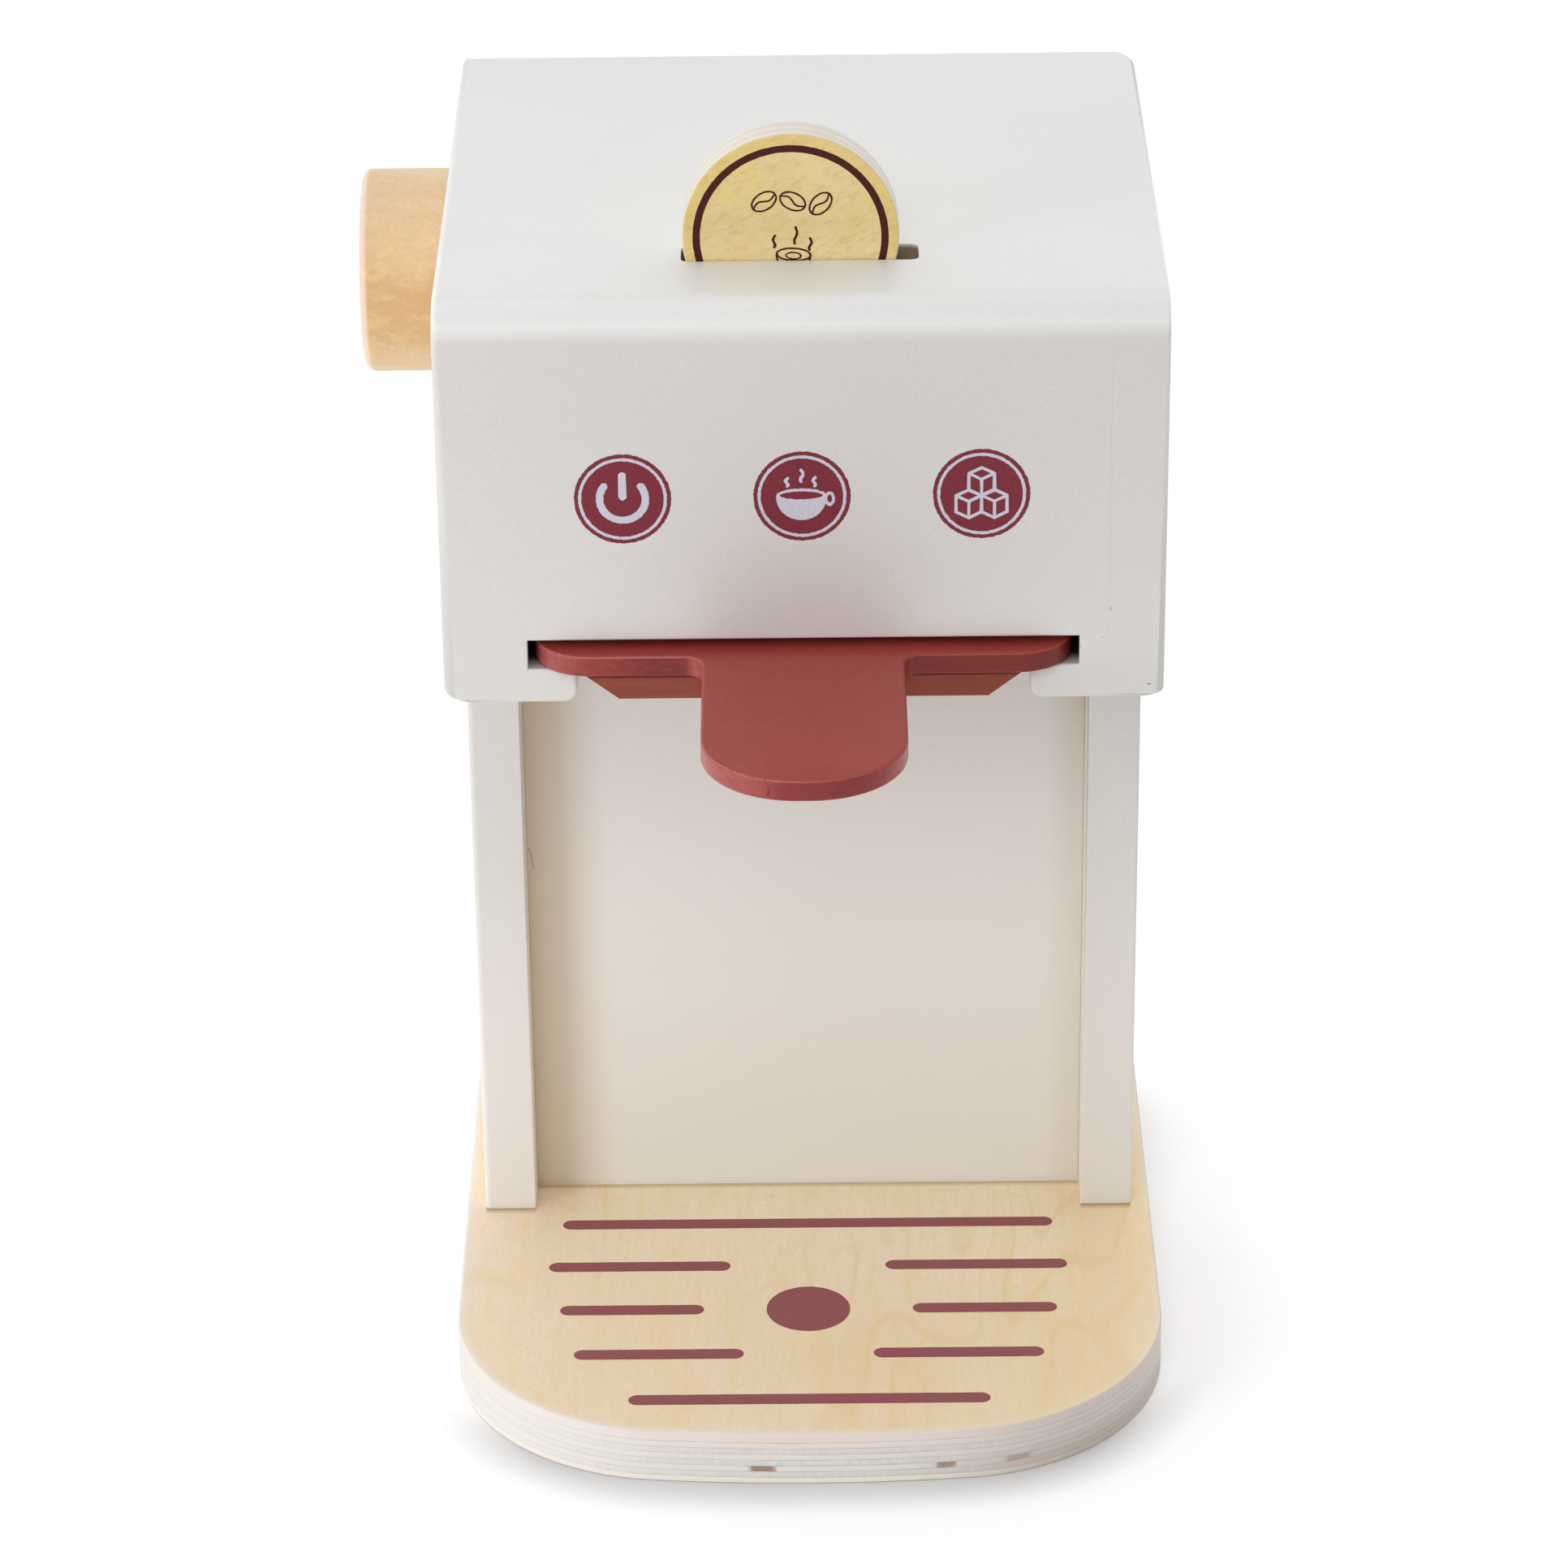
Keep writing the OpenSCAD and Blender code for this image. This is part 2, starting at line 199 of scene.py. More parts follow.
class Finish(Graph):
    """A material, on its piece's own coordinates."""

    def __init__(self, name, roughness, specular=0.5):
        self.material = bpy.data.materials.new(name)
        self.material.use_nodes = True
        super().__init__(self.material.node_tree)
        self.shader = self.tree.nodes["Principled BSDF"]
        self.set(self.shader, "Roughness", roughness)
        self.set(self.shader, "Specular IOR Level", specular)

    def finished(self, tone, *bumps):
        """The finished material. Each bump is a height from 0 to 1, and its depth in millimetres."""
        self.set(self.shader, "Base Color", tone)
        inputs = {"Strength": 1.0}
        for height, depth in bumps:
            inputs.update({"Height": height, "Distance": depth * MM})
            inputs["Normal"] = self.add("Bump", 0, inputs)
            self.set(self.shader, "Normal", inputs["Normal"])
        return self.material

    def facing(self, kind="True Normal"):
        """The X, Y and Z of the way that the surface faces. "Normal" also counts the smooth shading."""
        return self.parts(self.add("NewGeometry", kind))

    def spot(self, x, z, half_w, half_h):
        """1 on a small ragged mark about (x, z), in millimetres."""
        ragged = self.noise(3500, 2, 0.7)
        across = (self.x - x * MM) / (half_w * MM)
        up = (self.z - z * MM) / (half_h * MM)
        return (across * across + up * up + ragged).step(1.9, 1.1)

    def hairline(self, top, bottom, half_w, stray):
        """1 along a thin, straying line from top to bottom, each an (x, z) in millimetres."""
        share = (self.z - bottom[1] * MM) / ((top[1] - bottom[1]) * MM)
        sway = self.noise((0.0, 0.0, 420.0), 3, 0.6).scale(-stray * MM, stray * MM)
        middle = share * ((top[0] - bottom[0]) * MM) + bottom[0] * MM
        off = abs(self.x - middle - sway)
        along = share.step(-0.02, 0.04) * share.step(1.02, 0.96)
        return off.step(half_w * MM, half_w * 0.4 * MM) * along


# ---- paint

# Small chips in the paint of the head's front, in millimetres: x, z, half width and half height.
# The last value is how dark the chip is.
PAINT_NICKS = [
    (53.93, 168.72, 0.15, 0.13, 0.6),
    (52.54, 159.53, 0.12, 0.12, 0.3),
    (62.5, 159.35, 0.4, 0.12, 0.75),
    (50.0, 166.9, 0.15, 0.5, 0.25),
    (55.39, 174.42, 0.2, 0.4, 0.25),
]


def painted_light_and_shade(graph, tone, on_panel):
    """Painted light: paler paint towards the foot. Painted shade: darker where the column's panel meets its
    side boards.
    """
    # Painted light: the paint is paler low down, less so to the right.
    painted_light_low = (graph.z - on_panel * (30 * MM)).step(108 * MM, 35 * MM)
    to_right = graph.x.step(30 * MM, 62 * MM)
    tone = tone.tint((247, 243, 237), painted_light_low * to_right.scale(1.0, 0.7))
    # Painted shade in the panel's left corner, beside the left post.
    painted_shade_left_corner = graph.x.step(-HALF_COLUMN + 18 * MM, -HALF_COLUMN + 1 * MM)
    tone = tone.tint((229, 215, 192), painted_shade_left_corner * on_panel)
    # Painted shade in the panel's right corner, stronger higher up under the ledge.
    painted_shade_right_corner = graph.x.step(HALF_COLUMN - 9 * MM, HALF_COLUMN)
    higher_up = graph.z.step(90 * MM, 140 * MM).scale(0.4, 0.95)
    return tone.tint((206, 197, 179), painted_shade_right_corner * on_panel * higher_up)


def painted_light_facing(graph, tone):
    """Painted light: paler paint on the head's top, round its bend and on its right side."""
    right, _, up = graph.facing("Normal")
    painted_light_skyward = up.step(0.1, 0.5) * graph.z.step(200 * MM, 205 * MM)
    tone = tone.tint((0.05, 0.066, 0.08, 1.0), painted_light_skyward, "ADD")
    tone = tone.tint(grey(0.06), painted_light_skyward * up.step(0.995, 0.9), "ADD")
    outward = right.step(0.2, 0.6) * graph.z.step(150 * MM, 160 * MM)
    return tone.tint(grey(0.07), outward, "ADD")


def paint_marks(graph, tone, on_head, on_panel):
    """Chips, a seam and a crack in the paint, and the red rubbed off on the runners' ends."""
    for x, z, half_w, half_h, share in PAINT_NICKS:
        tone = tone.tint((74, 66, 60), graph.spot(x, z, half_w, half_h) * on_head * share)
    seam = graph.hairline((55.2, 206), (55.3, 169.5), 0.09, 0.05)
    tone = tone.tint((120, 112, 104), seam * on_head * 0.1)
    crack = graph.hairline((-54.6, 88.4), (-53.7, 83.6), 0.2, 0.6)
    tone = tone.tint((120, 104, 90), crack * on_panel * 0.45)
    rubbed = graph.x.within(RUNNER_HIGH.x - 0.6 * MM, RUNNER_HIGH.x + 0.1 * MM)
    rubbed *= graph.y.within(RUNNER_LOW.y + 2 * MM, RUNNER_LOW.y + 14 * MM)
    rubbed *= graph.z.within(RUNNER_LOW.z + 2 * MM, RUNNER_HIGH.z)
    rubbed *= graph.noise((0.0, 160.0, 90.0), 2).step(0.35, 0.55)
    return tone.tint((126, 88, 76), rubbed * 0.8)


def paint_material():
    """Off-white satin paint, sprayed and sanded on board, with painted light and shade."""
    graph = Finish("off_white_paint", 0.4)
    cloud = graph.noise(22, 3).step(0.3, 0.7)
    tone = graph.mix(cloud, (234, 231, 227), (231, 229, 225))
    fleck = graph.noise(1400, 3, 0.7).step(0.25, 0.75)
    tone = tone.tint((225, 221, 215), fleck * 0.5)
    on_panel = graph.y.within(COLUMN_LOW.y - 1 * MM, COLUMN_LOW.y + 1 * MM)
    on_panel *= graph.x.within(-HALF_COLUMN - 0.1 * MM, HALF_COLUMN)
    on_panel *= graph.z.within(0.0, FRONT_LOW.z)
    tone = painted_light_and_shade(graph, tone, on_panel)
    in_slot = graph.x.within(*SLOT_X) * graph.y.within(*SLOT_Y)
    in_slot *= graph.z.within(TOP_LOW.z - 1 * MM, BODY_HIGH.z - 0.6 * MM)
    tone = tone.tint((174, 158, 130), in_slot)
    tone = painted_light_facing(graph, tone)
    on_head = graph.y.within(BODY_LOW.y - 1 * MM, BODY_LOW.y + 1 * MM)
    # Painted shade: the head's front is made a little darker towards its top.
    tone = tone.tint(grey(0.96), on_head * graph.z.step(180 * MM, 215 * MM), "MULTIPLY")
    tone = paint_marks(graph, tone, on_head, on_panel)
    graph.set(graph.shader, "Roughness", graph.noise(300, 3).scale(0.34, 0.46))
    return graph.finished(tone, (graph.noise(700, 3, 0.6), 0.02), (graph.noise(45, 2), 0.12))


def plate_wings(graph, tone, side):
    """Darker, rougher paint on the front edges of the plate's two wings."""
    wing = side * graph.y.within(PLATE_LOW.y + 40 * MM, PLATE_HIGH.y)
    tone = tone.tint((112, 30, 26), wing * graph.x.step(16 * MM, 20 * MM) * 0.8)
    on_left = graph.x.step(-43 * MM, -25 * MM) * graph.x.step(-19 * MM, -22 * MM)
    patchy = graph.noise((600, 600, 1200), 3, 0.7).step(0.36, 0.6).scale(0.5, 0.8)
    return tone.tint((108, 34, 36), wing * on_left * patchy)


def plate_nose(graph, tone, side):
    """A short split in the paint on the tongue's end, and painted shade on the nose's sides to the right of
    it.
    """
    nose = graph.y.within(PLATE_LOW.y - 1 * MM, PLATE_LOW.y + 3 * MM)
    upper = graph.hairline((-7.1, 167.5), (-6.12, 165.9), 0.12, 0.1)
    lower = graph.hairline((-6.12, 165.9), (-6.46, 164.3), 0.2, 0.1)
    tone = tone.tint((84, 26, 30), graph.math("MAXIMUM", upper, lower) * nose * 0.75)
    # Painted shade on the nose's sides right of the split.
    ahead = graph.y.step(PLATE_LOW.y + 9 * MM, PLATE_LOW.y + 2 * MM)
    beside = side * ahead * graph.x.step(-9 * MM, -3 * MM)
    return tone.tint((126, 42, 46), beside * 0.55)


def plate_material():
    """Satin red-brown paint on the portafilter plate, with painted highlights on its left-facing sides and
    eased rim, and scuffed streaks on its sides.
    """
    graph = Finish("red_paint", 0.36, 0.3)
    cloud = graph.noise(40, 3).step(0.3, 0.7)
    tone = graph.mix(cloud, (163, 66, 59), (169, 71, 61))
    pores = graph.noise(1900, 3, 0.75).step(0.42, 0.7)
    tone = tone.tint((136, 50, 48), pores * 0.5)
    right, _, up = graph.facing()
    up = abs(up)
    side = up.step(0.7, 0.3)
    # Painted light: the sides that face left, towards the key lamp, are paler and pinker.
    patchy = graph.noise((500, 500, 900), 3, 0.6).scale(0.15, 0.7)
    tone = tone.tint((180, 102, 100), right.step(0.0, -0.75) * side * patchy)
    # Painted highlight along the eased upper rim, fading out towards the right.
    worn = up.step(0.2, 0.5) * up.step(0.98, 0.88)
    worn *= graph.z.step(PLATE_LOW.z + 2 * MM, PLATE_HIGH.z - 0.8 * MM)
    worn *= graph.x.step(22 * MM, -14 * MM)
    tone = tone.tint((214, 140, 130), worn * graph.noise(700, 3, 0.7).scale(0.0, 0.7))
    streaks = graph.noise((260, 260, 1400), 4, 0.7).step(0.5, 0.72)
    tone = tone.tint((92, 36, 38), side * streaks * 0.5)
    tone = plate_wings(graph, tone, side)
    tone = plate_nose(graph, tone, side)
    graph.set(graph.shader, "Roughness", graph.noise(260, 3).scale(0.28, 0.42))
    ridges = side * graph.noise((300, 300, 1500), 3, 0.7)
    return graph.finished(tone, (graph.noise(1100, 3, 0.6), 0.02), (ridges, 0.12))


def basket_material():
    """Red-brown stain on the tapered block, its grain along X."""
    graph = Finish("brown_stain", 0.55, 0.25)
    grain = graph.noise((50, 700, 700), 3, 0.6).step(0.3, 0.75)
    tone = graph.mix(grain, (150, 78, 56), (138, 66, 50))
    cloud = graph.noise((30, 90, 90), 2).step(0.35, 0.65)
    tone = tone.tint((140, 66, 52), cloud * 0.5)
    wave = graph.noise(500, 3).scale(-0.12 * MM, 0.12 * MM)
    drop = PLATE_LOW.z - graph.z + wave
    tone = tone.tint((84, 36, 32), drop.step(0.8 * MM, 0.45 * MM))
    tone = tone.tint((150, 62, 58), drop.step(0.45 * MM, 0.35 * MM))
    return graph.finished(tone, (grain, 0.015))


def print_material(name, tone, speck):
    """Matt screen-printing ink, a little uneven."""
    graph = Finish(name, 0.6, 0.2)
    grain = graph.noise(2600, 3, 0.7).step(0.3, 0.75)
    return graph.finished(graph.mix(grain, tone, speck), (grain, 0.006))


# ---- wood and steel

FOOT_SHADOW_REACH = 2.2 * MM      # how far the painted contact shadow before a board's foot fades out
RIM = "rim"               # mesh attribute: 1 on the base plate's eased upper edge, fading to 0 inside it; it carries the painted highlight
PLY = 1.286 * MM          # thickness of one inner ply of the base plate
PLY_COUNT = 7             # plies below the top one
STAIN = "stain"           # mesh attribute: how dark the wood is at an open knot between plies
TOKEN_PLIES = 5
TOKEN_GRAIN = 24          # slant of the grain on the token's face, in degrees


def foot_contact_shadow(graph):
    """Painted contact shadow: 1 on the veneer right before the boards that stand on it, fading forwards."""
    sideways = abs(graph.x)
    at_post = sideways.step(HALF_COLUMN - 0.2 * MM, HALF_COLUMN + 0.2 * MM)
    at_post *= sideways.step(BODY_HIGH.x + 0.2 * MM, BODY_HIGH.x - 0.4 * MM)
    at_panel = sideways.step(HALF_COLUMN, HALF_COLUMN - 0.3 * MM)
    near_post = (COLUMN_START - graph.y).step(FOOT_SHADOW_REACH, 0.0) * at_post
    near_panel = (COLUMN_LOW.y - graph.y).step(FOOT_SHADOW_REACH, 0.0) * at_panel
    return graph.math("MAXIMUM", near_post, near_panel)


def figure(graph):
    """1 along the winding lines of rotary-cut veneer."""
    drift = graph.add("TexNoise", "Color", {"Vector": graph.place, "Scale": 14.0, "Detail": 2.0})
    shift = graph.add("VectorMath", 0, {0: drift, "Scale": 0.012}, operation="SCALE")
    where = graph.add("VectorMath", 0, {0: graph.place, 1: shift}, operation="ADD")
    rings = (graph.noise((34, 7, 34), 1.5, where=where) * 12.0).fract()
    return abs(rings - 0.5).step(0.16, 0.0)


def veneer_material():
    """Clear-lacquered rotary-cut veneer, its grain along Y, with painted light under the head, a painted
    contact shadow before the boards and a painted highlight on its rim.
    """
    graph = Finish("maple_veneer", 0.42, 0.8)
    patch = graph.noise((40, 18, 40), 3).step(0.3, 0.7)
    tone = graph.mix(patch, (253, 232, 194), (255, 236, 210))
    golden = graph.noise((26, 12, 26), 2).step(0.45, 0.7)
    tone = tone.tint((247, 223, 168), golden * 0.6)
    # Painted light: the veneer under the head is made paler, against the head's shade.
    painted_light_under_head = graph.y.step(-58 * MM, -2 * MM) * abs(graph.x).step(62 * MM, 40 * MM)
    tone = tone.tint((255, 241, 207), painted_light_under_head * 0.95)
    faint = graph.noise(30, 2).step(0.38, 0.68).scale(0.04, 0.34)
    tone = tone.tint((238, 204, 130), figure(graph) * faint)
    streak = graph.noise((300, 22, 300), 3, 0.65).step(0.5, 0.72)
    tone = tone.tint((252, 222, 146), streak * 0.3)
    fibre = graph.noise((1500, 110, 1500), 3, 0.6).step(0.35, 0.75)
    tone = tone.tint((234, 200, 150), fibre * 0.16)
    fleck = graph.noise((520, 300, 520), 3, 0.7).step(0.52, 0.8)
    tone = tone.tint((236, 202, 150), fleck * 0.25)
    dust = graph.noise((1900, 1000, 1900), 2, 0.7).step(0.42, 0.7)
    tone = tone.tint((240, 208, 160), dust * 0.3)
    # Painted contact shadow before the boards' feet.
    tone = tone.tint((170, 138, 80), foot_contact_shadow(graph) * 0.62)
    # Painted highlight on the eased upper edge, strongest towards the left.
    rim = graph.add("Attribute", "Fac", attribute_name=RIM)
    lit = graph.x.step(45 * MM, -20 * MM).scale(0.3, 0.85)
    tone = tone.tint((250, 239, 226), rim * lit)
    return graph.finished(tone, (fibre, 0.008), (graph.noise((300, 60, 300), 2), 0.02))


def plies(graph, level, ticks):
    """The tone of a stack of plies, each second one cut across its grain, with thin glue lines."""
    long_grain = graph.mix(graph.noise((90, 90, 500), 3), (243, 237, 227), (237, 231, 221))
    end_grain = graph.mix(ticks, (235, 233, 229), (224, 222, 218))
    tone = graph.mix((level * 0.5).fract() > 0.5, long_grain, end_grain)
    band = graph.mix(graph.noise((150, 150, 400), 2), (245, 235, 226), (240, 227, 216))
    tone = tone.tint(band, level > PLY_COUNT)
    glue = abs(level.fract() - 0.5).step(0.44, 0.49) * (level < PLY_COUNT + 0.4)
    broken = graph.noise((130, 130, 900), 3).step(0.3, 0.6).scale(0.35, 0.9)
    return tone.tint((180, 166, 160), glue * broken)


def ply_edge_material():
    """The base plate's edge: its plies, with painted light to the left, painted shade to the right and more
    low on the right, and a paler lowest ply.
    """
    graph = Finish("plywood_edge", 0.55)
    wave = graph.noise((60, 60, 25), 2).scale(-0.12 * MM, 0.12 * MM)
    ticks = graph.noise((1700, 1700, 350), 3, 0.65).step(0.3, 0.75)
    tone = plies(graph, (graph.z + wave) / PLY, ticks)
    # Painted light on the left of the edge.
    tone = tone.tint((248, 242, 239), graph.x.step(-8 * MM, -48 * MM) * 0.5)
    # Painted shade on the right of the edge, darker low down.
    right = graph.x.step(8 * MM, 58 * MM)
    tone = tone.tint((206, 192, 184), right * 0.5)
    painted_shade_low_right = right * graph.z.step(6.5 * MM, 2 * MM)
    tone = tone.tint((184, 166, 148), painted_shade_low_right * 0.45)
    lowest = graph.z.step(1.4 * MM, 1.0 * MM) * (1.0 - right)
    tone = tone.tint((252, 243, 232), lowest * 0.7)
    burnt = graph.mix(graph.noise(900, 3), (176, 140, 114), (142, 112, 92))
    tone = tone.tint(burnt, graph.add("Attribute", "Fac", attribute_name=STAIN))
    return graph.finished(tone, (ticks, 0.02))


def beech_material():
    """Clear-lacquered beech, turned along X, with its fine rays across and a painted highlight on its outer
    rim.
    """
    graph = Finish("beech", 0.45)
    sweep = graph.noise((22, 60, 60), 2, distortion=0.6).step(0.3, 0.7)
    tone = graph.mix(sweep, (242, 215, 180), (237, 207, 166))
    sway = graph.noise((70, 30, 30), 2).scale(-4 * MM, 4 * MM)
    middle = abs(graph.z - KNOB_CENTRE.z + sway).step(15 * MM, 3 * MM)
    tone = tone.tint((215, 171, 114), middle * 0.9)
    bands = graph.noise((50, 150, 150), 3, 0.6).step(0.4, 0.7)
    tone = tone.tint((228, 184, 128), bands * 0.5)
    rays = graph.noise((320, 1900, 1900), 2, 0.6).step(0.56, 0.72)
    tone = tone.tint((214, 164, 116), rays * 0.12)
    mottle = graph.noise((260, 420, 420), 4, 0.75).step(0.42, 0.66)
    tone = tone.tint((244, 210, 152), mottle * 0.5)
    speck = graph.noise(1500, 3, 0.75).step(0.45, 0.7)
    tone = tone.tint((216, 166, 116), speck * 0.35)
    knob_r = (KNOB_HIGH.z - KNOB_LOW.z) / 2
    radius = distance(graph.y - KNOB_CENTRE.y, graph.z - KNOB_CENTRE.z)
    # Painted highlight round the rim of the knob's outer end.
    rim = graph.x.step(KNOB_LOW.x + 1.6 * MM, KNOB_LOW.x + 0.7 * MM)
    rim *= radius.step(knob_r - 2.6 * MM, knob_r - 1.8 * MM)
    tone = tone.tint((250, 229, 210), rim * 0.75)
    return graph.finished(tone, (bands, 0.01), (rays, 0.008))


def token_material():
    """Thin plywood: a speckled yellow face, and pale plies round the edge."""
    graph = Finish("token_plywood", 0.5)
    face = graph.mix(graph.noise(70, 3).step(0.3, 0.7), (246, 224, 168), (242, 217, 152))
    radius = distance(graph.x - TOKEN_CENTRE.x, graph.z - TOKEN_CENTRE.z)
    face = face.tint((242, 209, 126), radius.step(16.6 * MM, 18 * MM) * 0.75)
    sunny = graph.noise(160, 2).step(0.45, 0.65)
    face = face.tint((246, 224, 140), sunny * 0.4)
    slant = (0.0, radians(TOKEN_GRAIN), 0.0)
    turned = graph.add("Mapping", 0, {"Vector": graph.place, "Rotation": slant})
    fleck = graph.noise((420, 900, 1150), 3, 0.7, where=turned).step(0.46, 0.7)
    face = face.tint((224, 190, 118), fleck * 0.5)
    pale = graph.noise((300, 500, 800), 2, 0.6, where=turned).step(0.55, 0.75)
    face = face.tint((247, 232, 192), pale * 0.5)
    level = (graph.y - TOKEN_LOW.y) * (TOKEN_PLIES / (TOKEN_HIGH.y - TOKEN_LOW.y))
    edge = graph.mix((level * 0.5).fract() > 0.5, (236, 229, 217), (228, 220, 207))
    glue = abs(level.fract() - 0.5).step(0.42, 0.49)
    edge = edge.tint((200, 186, 172), glue * 0.4)
    flat = abs(graph.facing()[1]).step(0.5, 0.9)
    tone = edge.tint(face, flat)
    return graph.finished(tone, (fleck, 0.01))


def bare_wood_material():
    """Unfinished wood of the hidden block and dowels."""
    graph = Finish("bare_wood", 0.7)
    grain = graph.noise((60, 600, 600), 3, 0.6).step(0.3, 0.75)
    return graph.finished(graph.mix(grain, (226, 196, 148), (206, 170, 118)), (grain, 0.03))


def slot_shade_material():
    """Raw board inside the portafilter slot, darkened as painted shade, with paint that strayed in from the
    front.
    """
    graph = Finish("slot_board_painted_shade", 0.7, 0.2)
    grain = graph.noise((900, 60, 900), 3, 0.6).step(0.3, 0.75)
    # Painted shade: the bare board is made near black, for the slot's deep shade.
    tone = graph.mix(grain, (58, 46, 38), (40, 31, 26))
    rag = graph.noise(420, 3).scale(-0.6 * MM, 0.6 * MM)
    behind = graph.y + rag - FRONT_LOW.y
    above = graph.z + rag - LEDGE_TOP
    stray = behind.step(5.5 * MM, 1.0 * MM) * above.step(1.4 * MM, 0.2 * MM)
    tone = tone.tint((205, 203, 200), stray)
    return graph.finished(tone, (graph.noise(900, 3), 0.04))


def screw_material():
    """Zinc-plated steel."""
    graph = Finish("zinc_steel", 0.35)
    graph.set(graph.shader, "Metallic", 1.0)
    cloud = graph.noise(900, 3).step(0.3, 0.7)
    tone = graph.mix(cloud, (196, 196, 200), (176, 176, 178))
    return graph.finished(tone, (graph.noise(3000, 2), 0.01))


PAINT = paint_material()
VENEER = veneer_material()
PLY_EDGE = ply_edge_material()
RED = plate_material()
BROWN = basket_material()
BEECH = beech_material()
TOKEN_WOOD = token_material()
BARE_WOOD = bare_wood_material()
SLOT_SHADE_WOOD = slot_shade_material()
ZINC = screw_material()
MAROON = print_material("maroon_ink", (151, 84, 88), (159, 96, 98))
DISC_INK = print_material("disc_ink", (126, 46, 58), (136, 56, 66))
PALE_INK = print_material("pale_ink", (222, 221, 232), (208, 207, 222))
DARK_INK = print_material("dark_ink", (78, 30, 22), (64, 22, 16))


# ---- meshes

JOINED = 0.001 * MM        # vertices closer than this are one
FLAT = radians(0.4)        # faces whose slants differ less than this are one
SHARP = radians(30)        # edges sharper than this can be eased
HARD = radians(40)         # edges sharper than this are shaded hard


def add_object(name, data):
    """A new object in the scene, round a mesh, a lamp or a camera."""
    made = bpy.data.objects.new(name, data)
    bpy.context.scene.collection.objects.link(made)
    return made


def new_piece(name, bm, body, slot, *materials):
    """Makes the finished mesh a piece that rides on a CAD body."""
    mesh = bpy.data.meshes.new(name)
    bm.to_mesh(mesh)
    bm.free()
    piece = add_object(name, mesh)
    for made in materials:
        mesh.materials.append(made)
    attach(piece, body)
    return piece


def stand_in(node, bm, body, slot, *materials):
    """Puts the finished mesh in a CAD node's place, shaded smoothly but for its hard edges."""
    piece = new_piece(node + "_dressed", bm, body, slot, *materials)
    piece.data.polygons.foreach_set("use_smooth", [True] * len(piece.data.polygons))
    piece.data.set_sharp_from_angle(angle=HARD)
    even = piece.modifiers.new("even_normals", "WEIGHTED_NORMAL")
    even.keep_sharp = True
    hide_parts(node)


def inside(value, wanted):
    """True if value is the wanted one, or lies in the wanted range. None allows anything."""
    if wanted is None:
        return True
    low, high = wanted if isinstance(wanted, tuple) else (wanted, wanted)
    return low - TOLERANCE <= value <= high + TOLERANCE


def ease(bm, radius, x=None, y=None, z=None):
    """Rounds the sharp edges whose two ends both lie at the given coordinates or in the given ranges."""
    chosen = [
        edge for edge in bm.edges
        if all(inside(v.co.x, x) and inside(v.co.y, y) and inside(v.co.z, z) for v in edge.verts)
        and len(edge.link_faces) == 2 and edge.calc_face_angle(0.0) > SHARP
    ]
    if chosen:
        bmesh.ops.bevel(
            bm, geom=chosen, offset=radius, segments=3, profile=0.5,
            affect="EDGES", clamp_overlap=True,
        )


def skin(bm, loops, finish=lambda row, column: 0):
    """Faces between rows of vertices, each row closed. finish gives the place of a face's material."""
    for row, (near, far) in enumerate(zip(loops, loops[1:])):
        for i in range(len(near)):
            after = (i + 1) % len(near)
            face = bm.faces.new((near[i], near[after], far[after], far[i]))
            face.material_index = finish(row, i)


def dress(node, body, slot, material, eased=(), reshape=None):
    """Stands a copy of a CAD node, with its small edges eased, in for the node."""
    bm = bmesh.new()
    bm.from_mesh(frame["nodes"][node].data)
    bmesh.ops.remove_doubles(bm, verts=bm.verts, dist=JOINED)
    bmesh.ops.dissolve_limit(bm, angle_limit=FLAT, verts=bm.verts, edges=bm.edges)
    for radius, place in eased:
        ease(bm, radius, **place)
    if reshape:
        reshape(bm)
    stand_in(node, bm, body, slot, material)


# ---- painted body

SEAM = 0.05 * MM           # easing that leaves a hair line where two painted boards meet
JOINT = 0.3 * MM           # easing at the open joint beside the column panel
TIGHT_JOINT = 0.12 * MM
REAR_JOINT = 0.25 * MM
FOOT_EASE = 0.8 * MM
SLOT_EASE = 0.4 * MM
BEND = 8 * MM              # reach of the head's rounded upper front edge
EDGE = 1.2 * MM            # reach of an eased edge at a board's corner

# Edges worn flat by sanding, in millimetres: the round edge's radius, then its worn width and its
# worn height or depth.
WORN_LEFT = (4.5, 8.4, 3.2)
WORN_RIGHT = (3.0, 8.5, 2.1)
WORN_REAR = (3.5, 4.6, 9.0)
Y_AXIS, Z_AXIS = 1, 2      # places in a vector


def wear(bm, outer, inward, axis, start, way, shape, before=inf):
    """Flattens a cheek's round outer edge, which starts at start and goes way, 1 or -1, along an axis."""
    radius, width, height = (size * MM for size in shape)
    for vert in bm.verts:
        across = (vert.co.x - outer) * inward
        along = (vert.co[axis] - start) * way
        if vert.co.y < before and max(across, along) < radius + TOLERANCE:
            vert.co.x = outer + inward * (across * width / radius)
            vert.co[axis] = start + way * along * height / radius


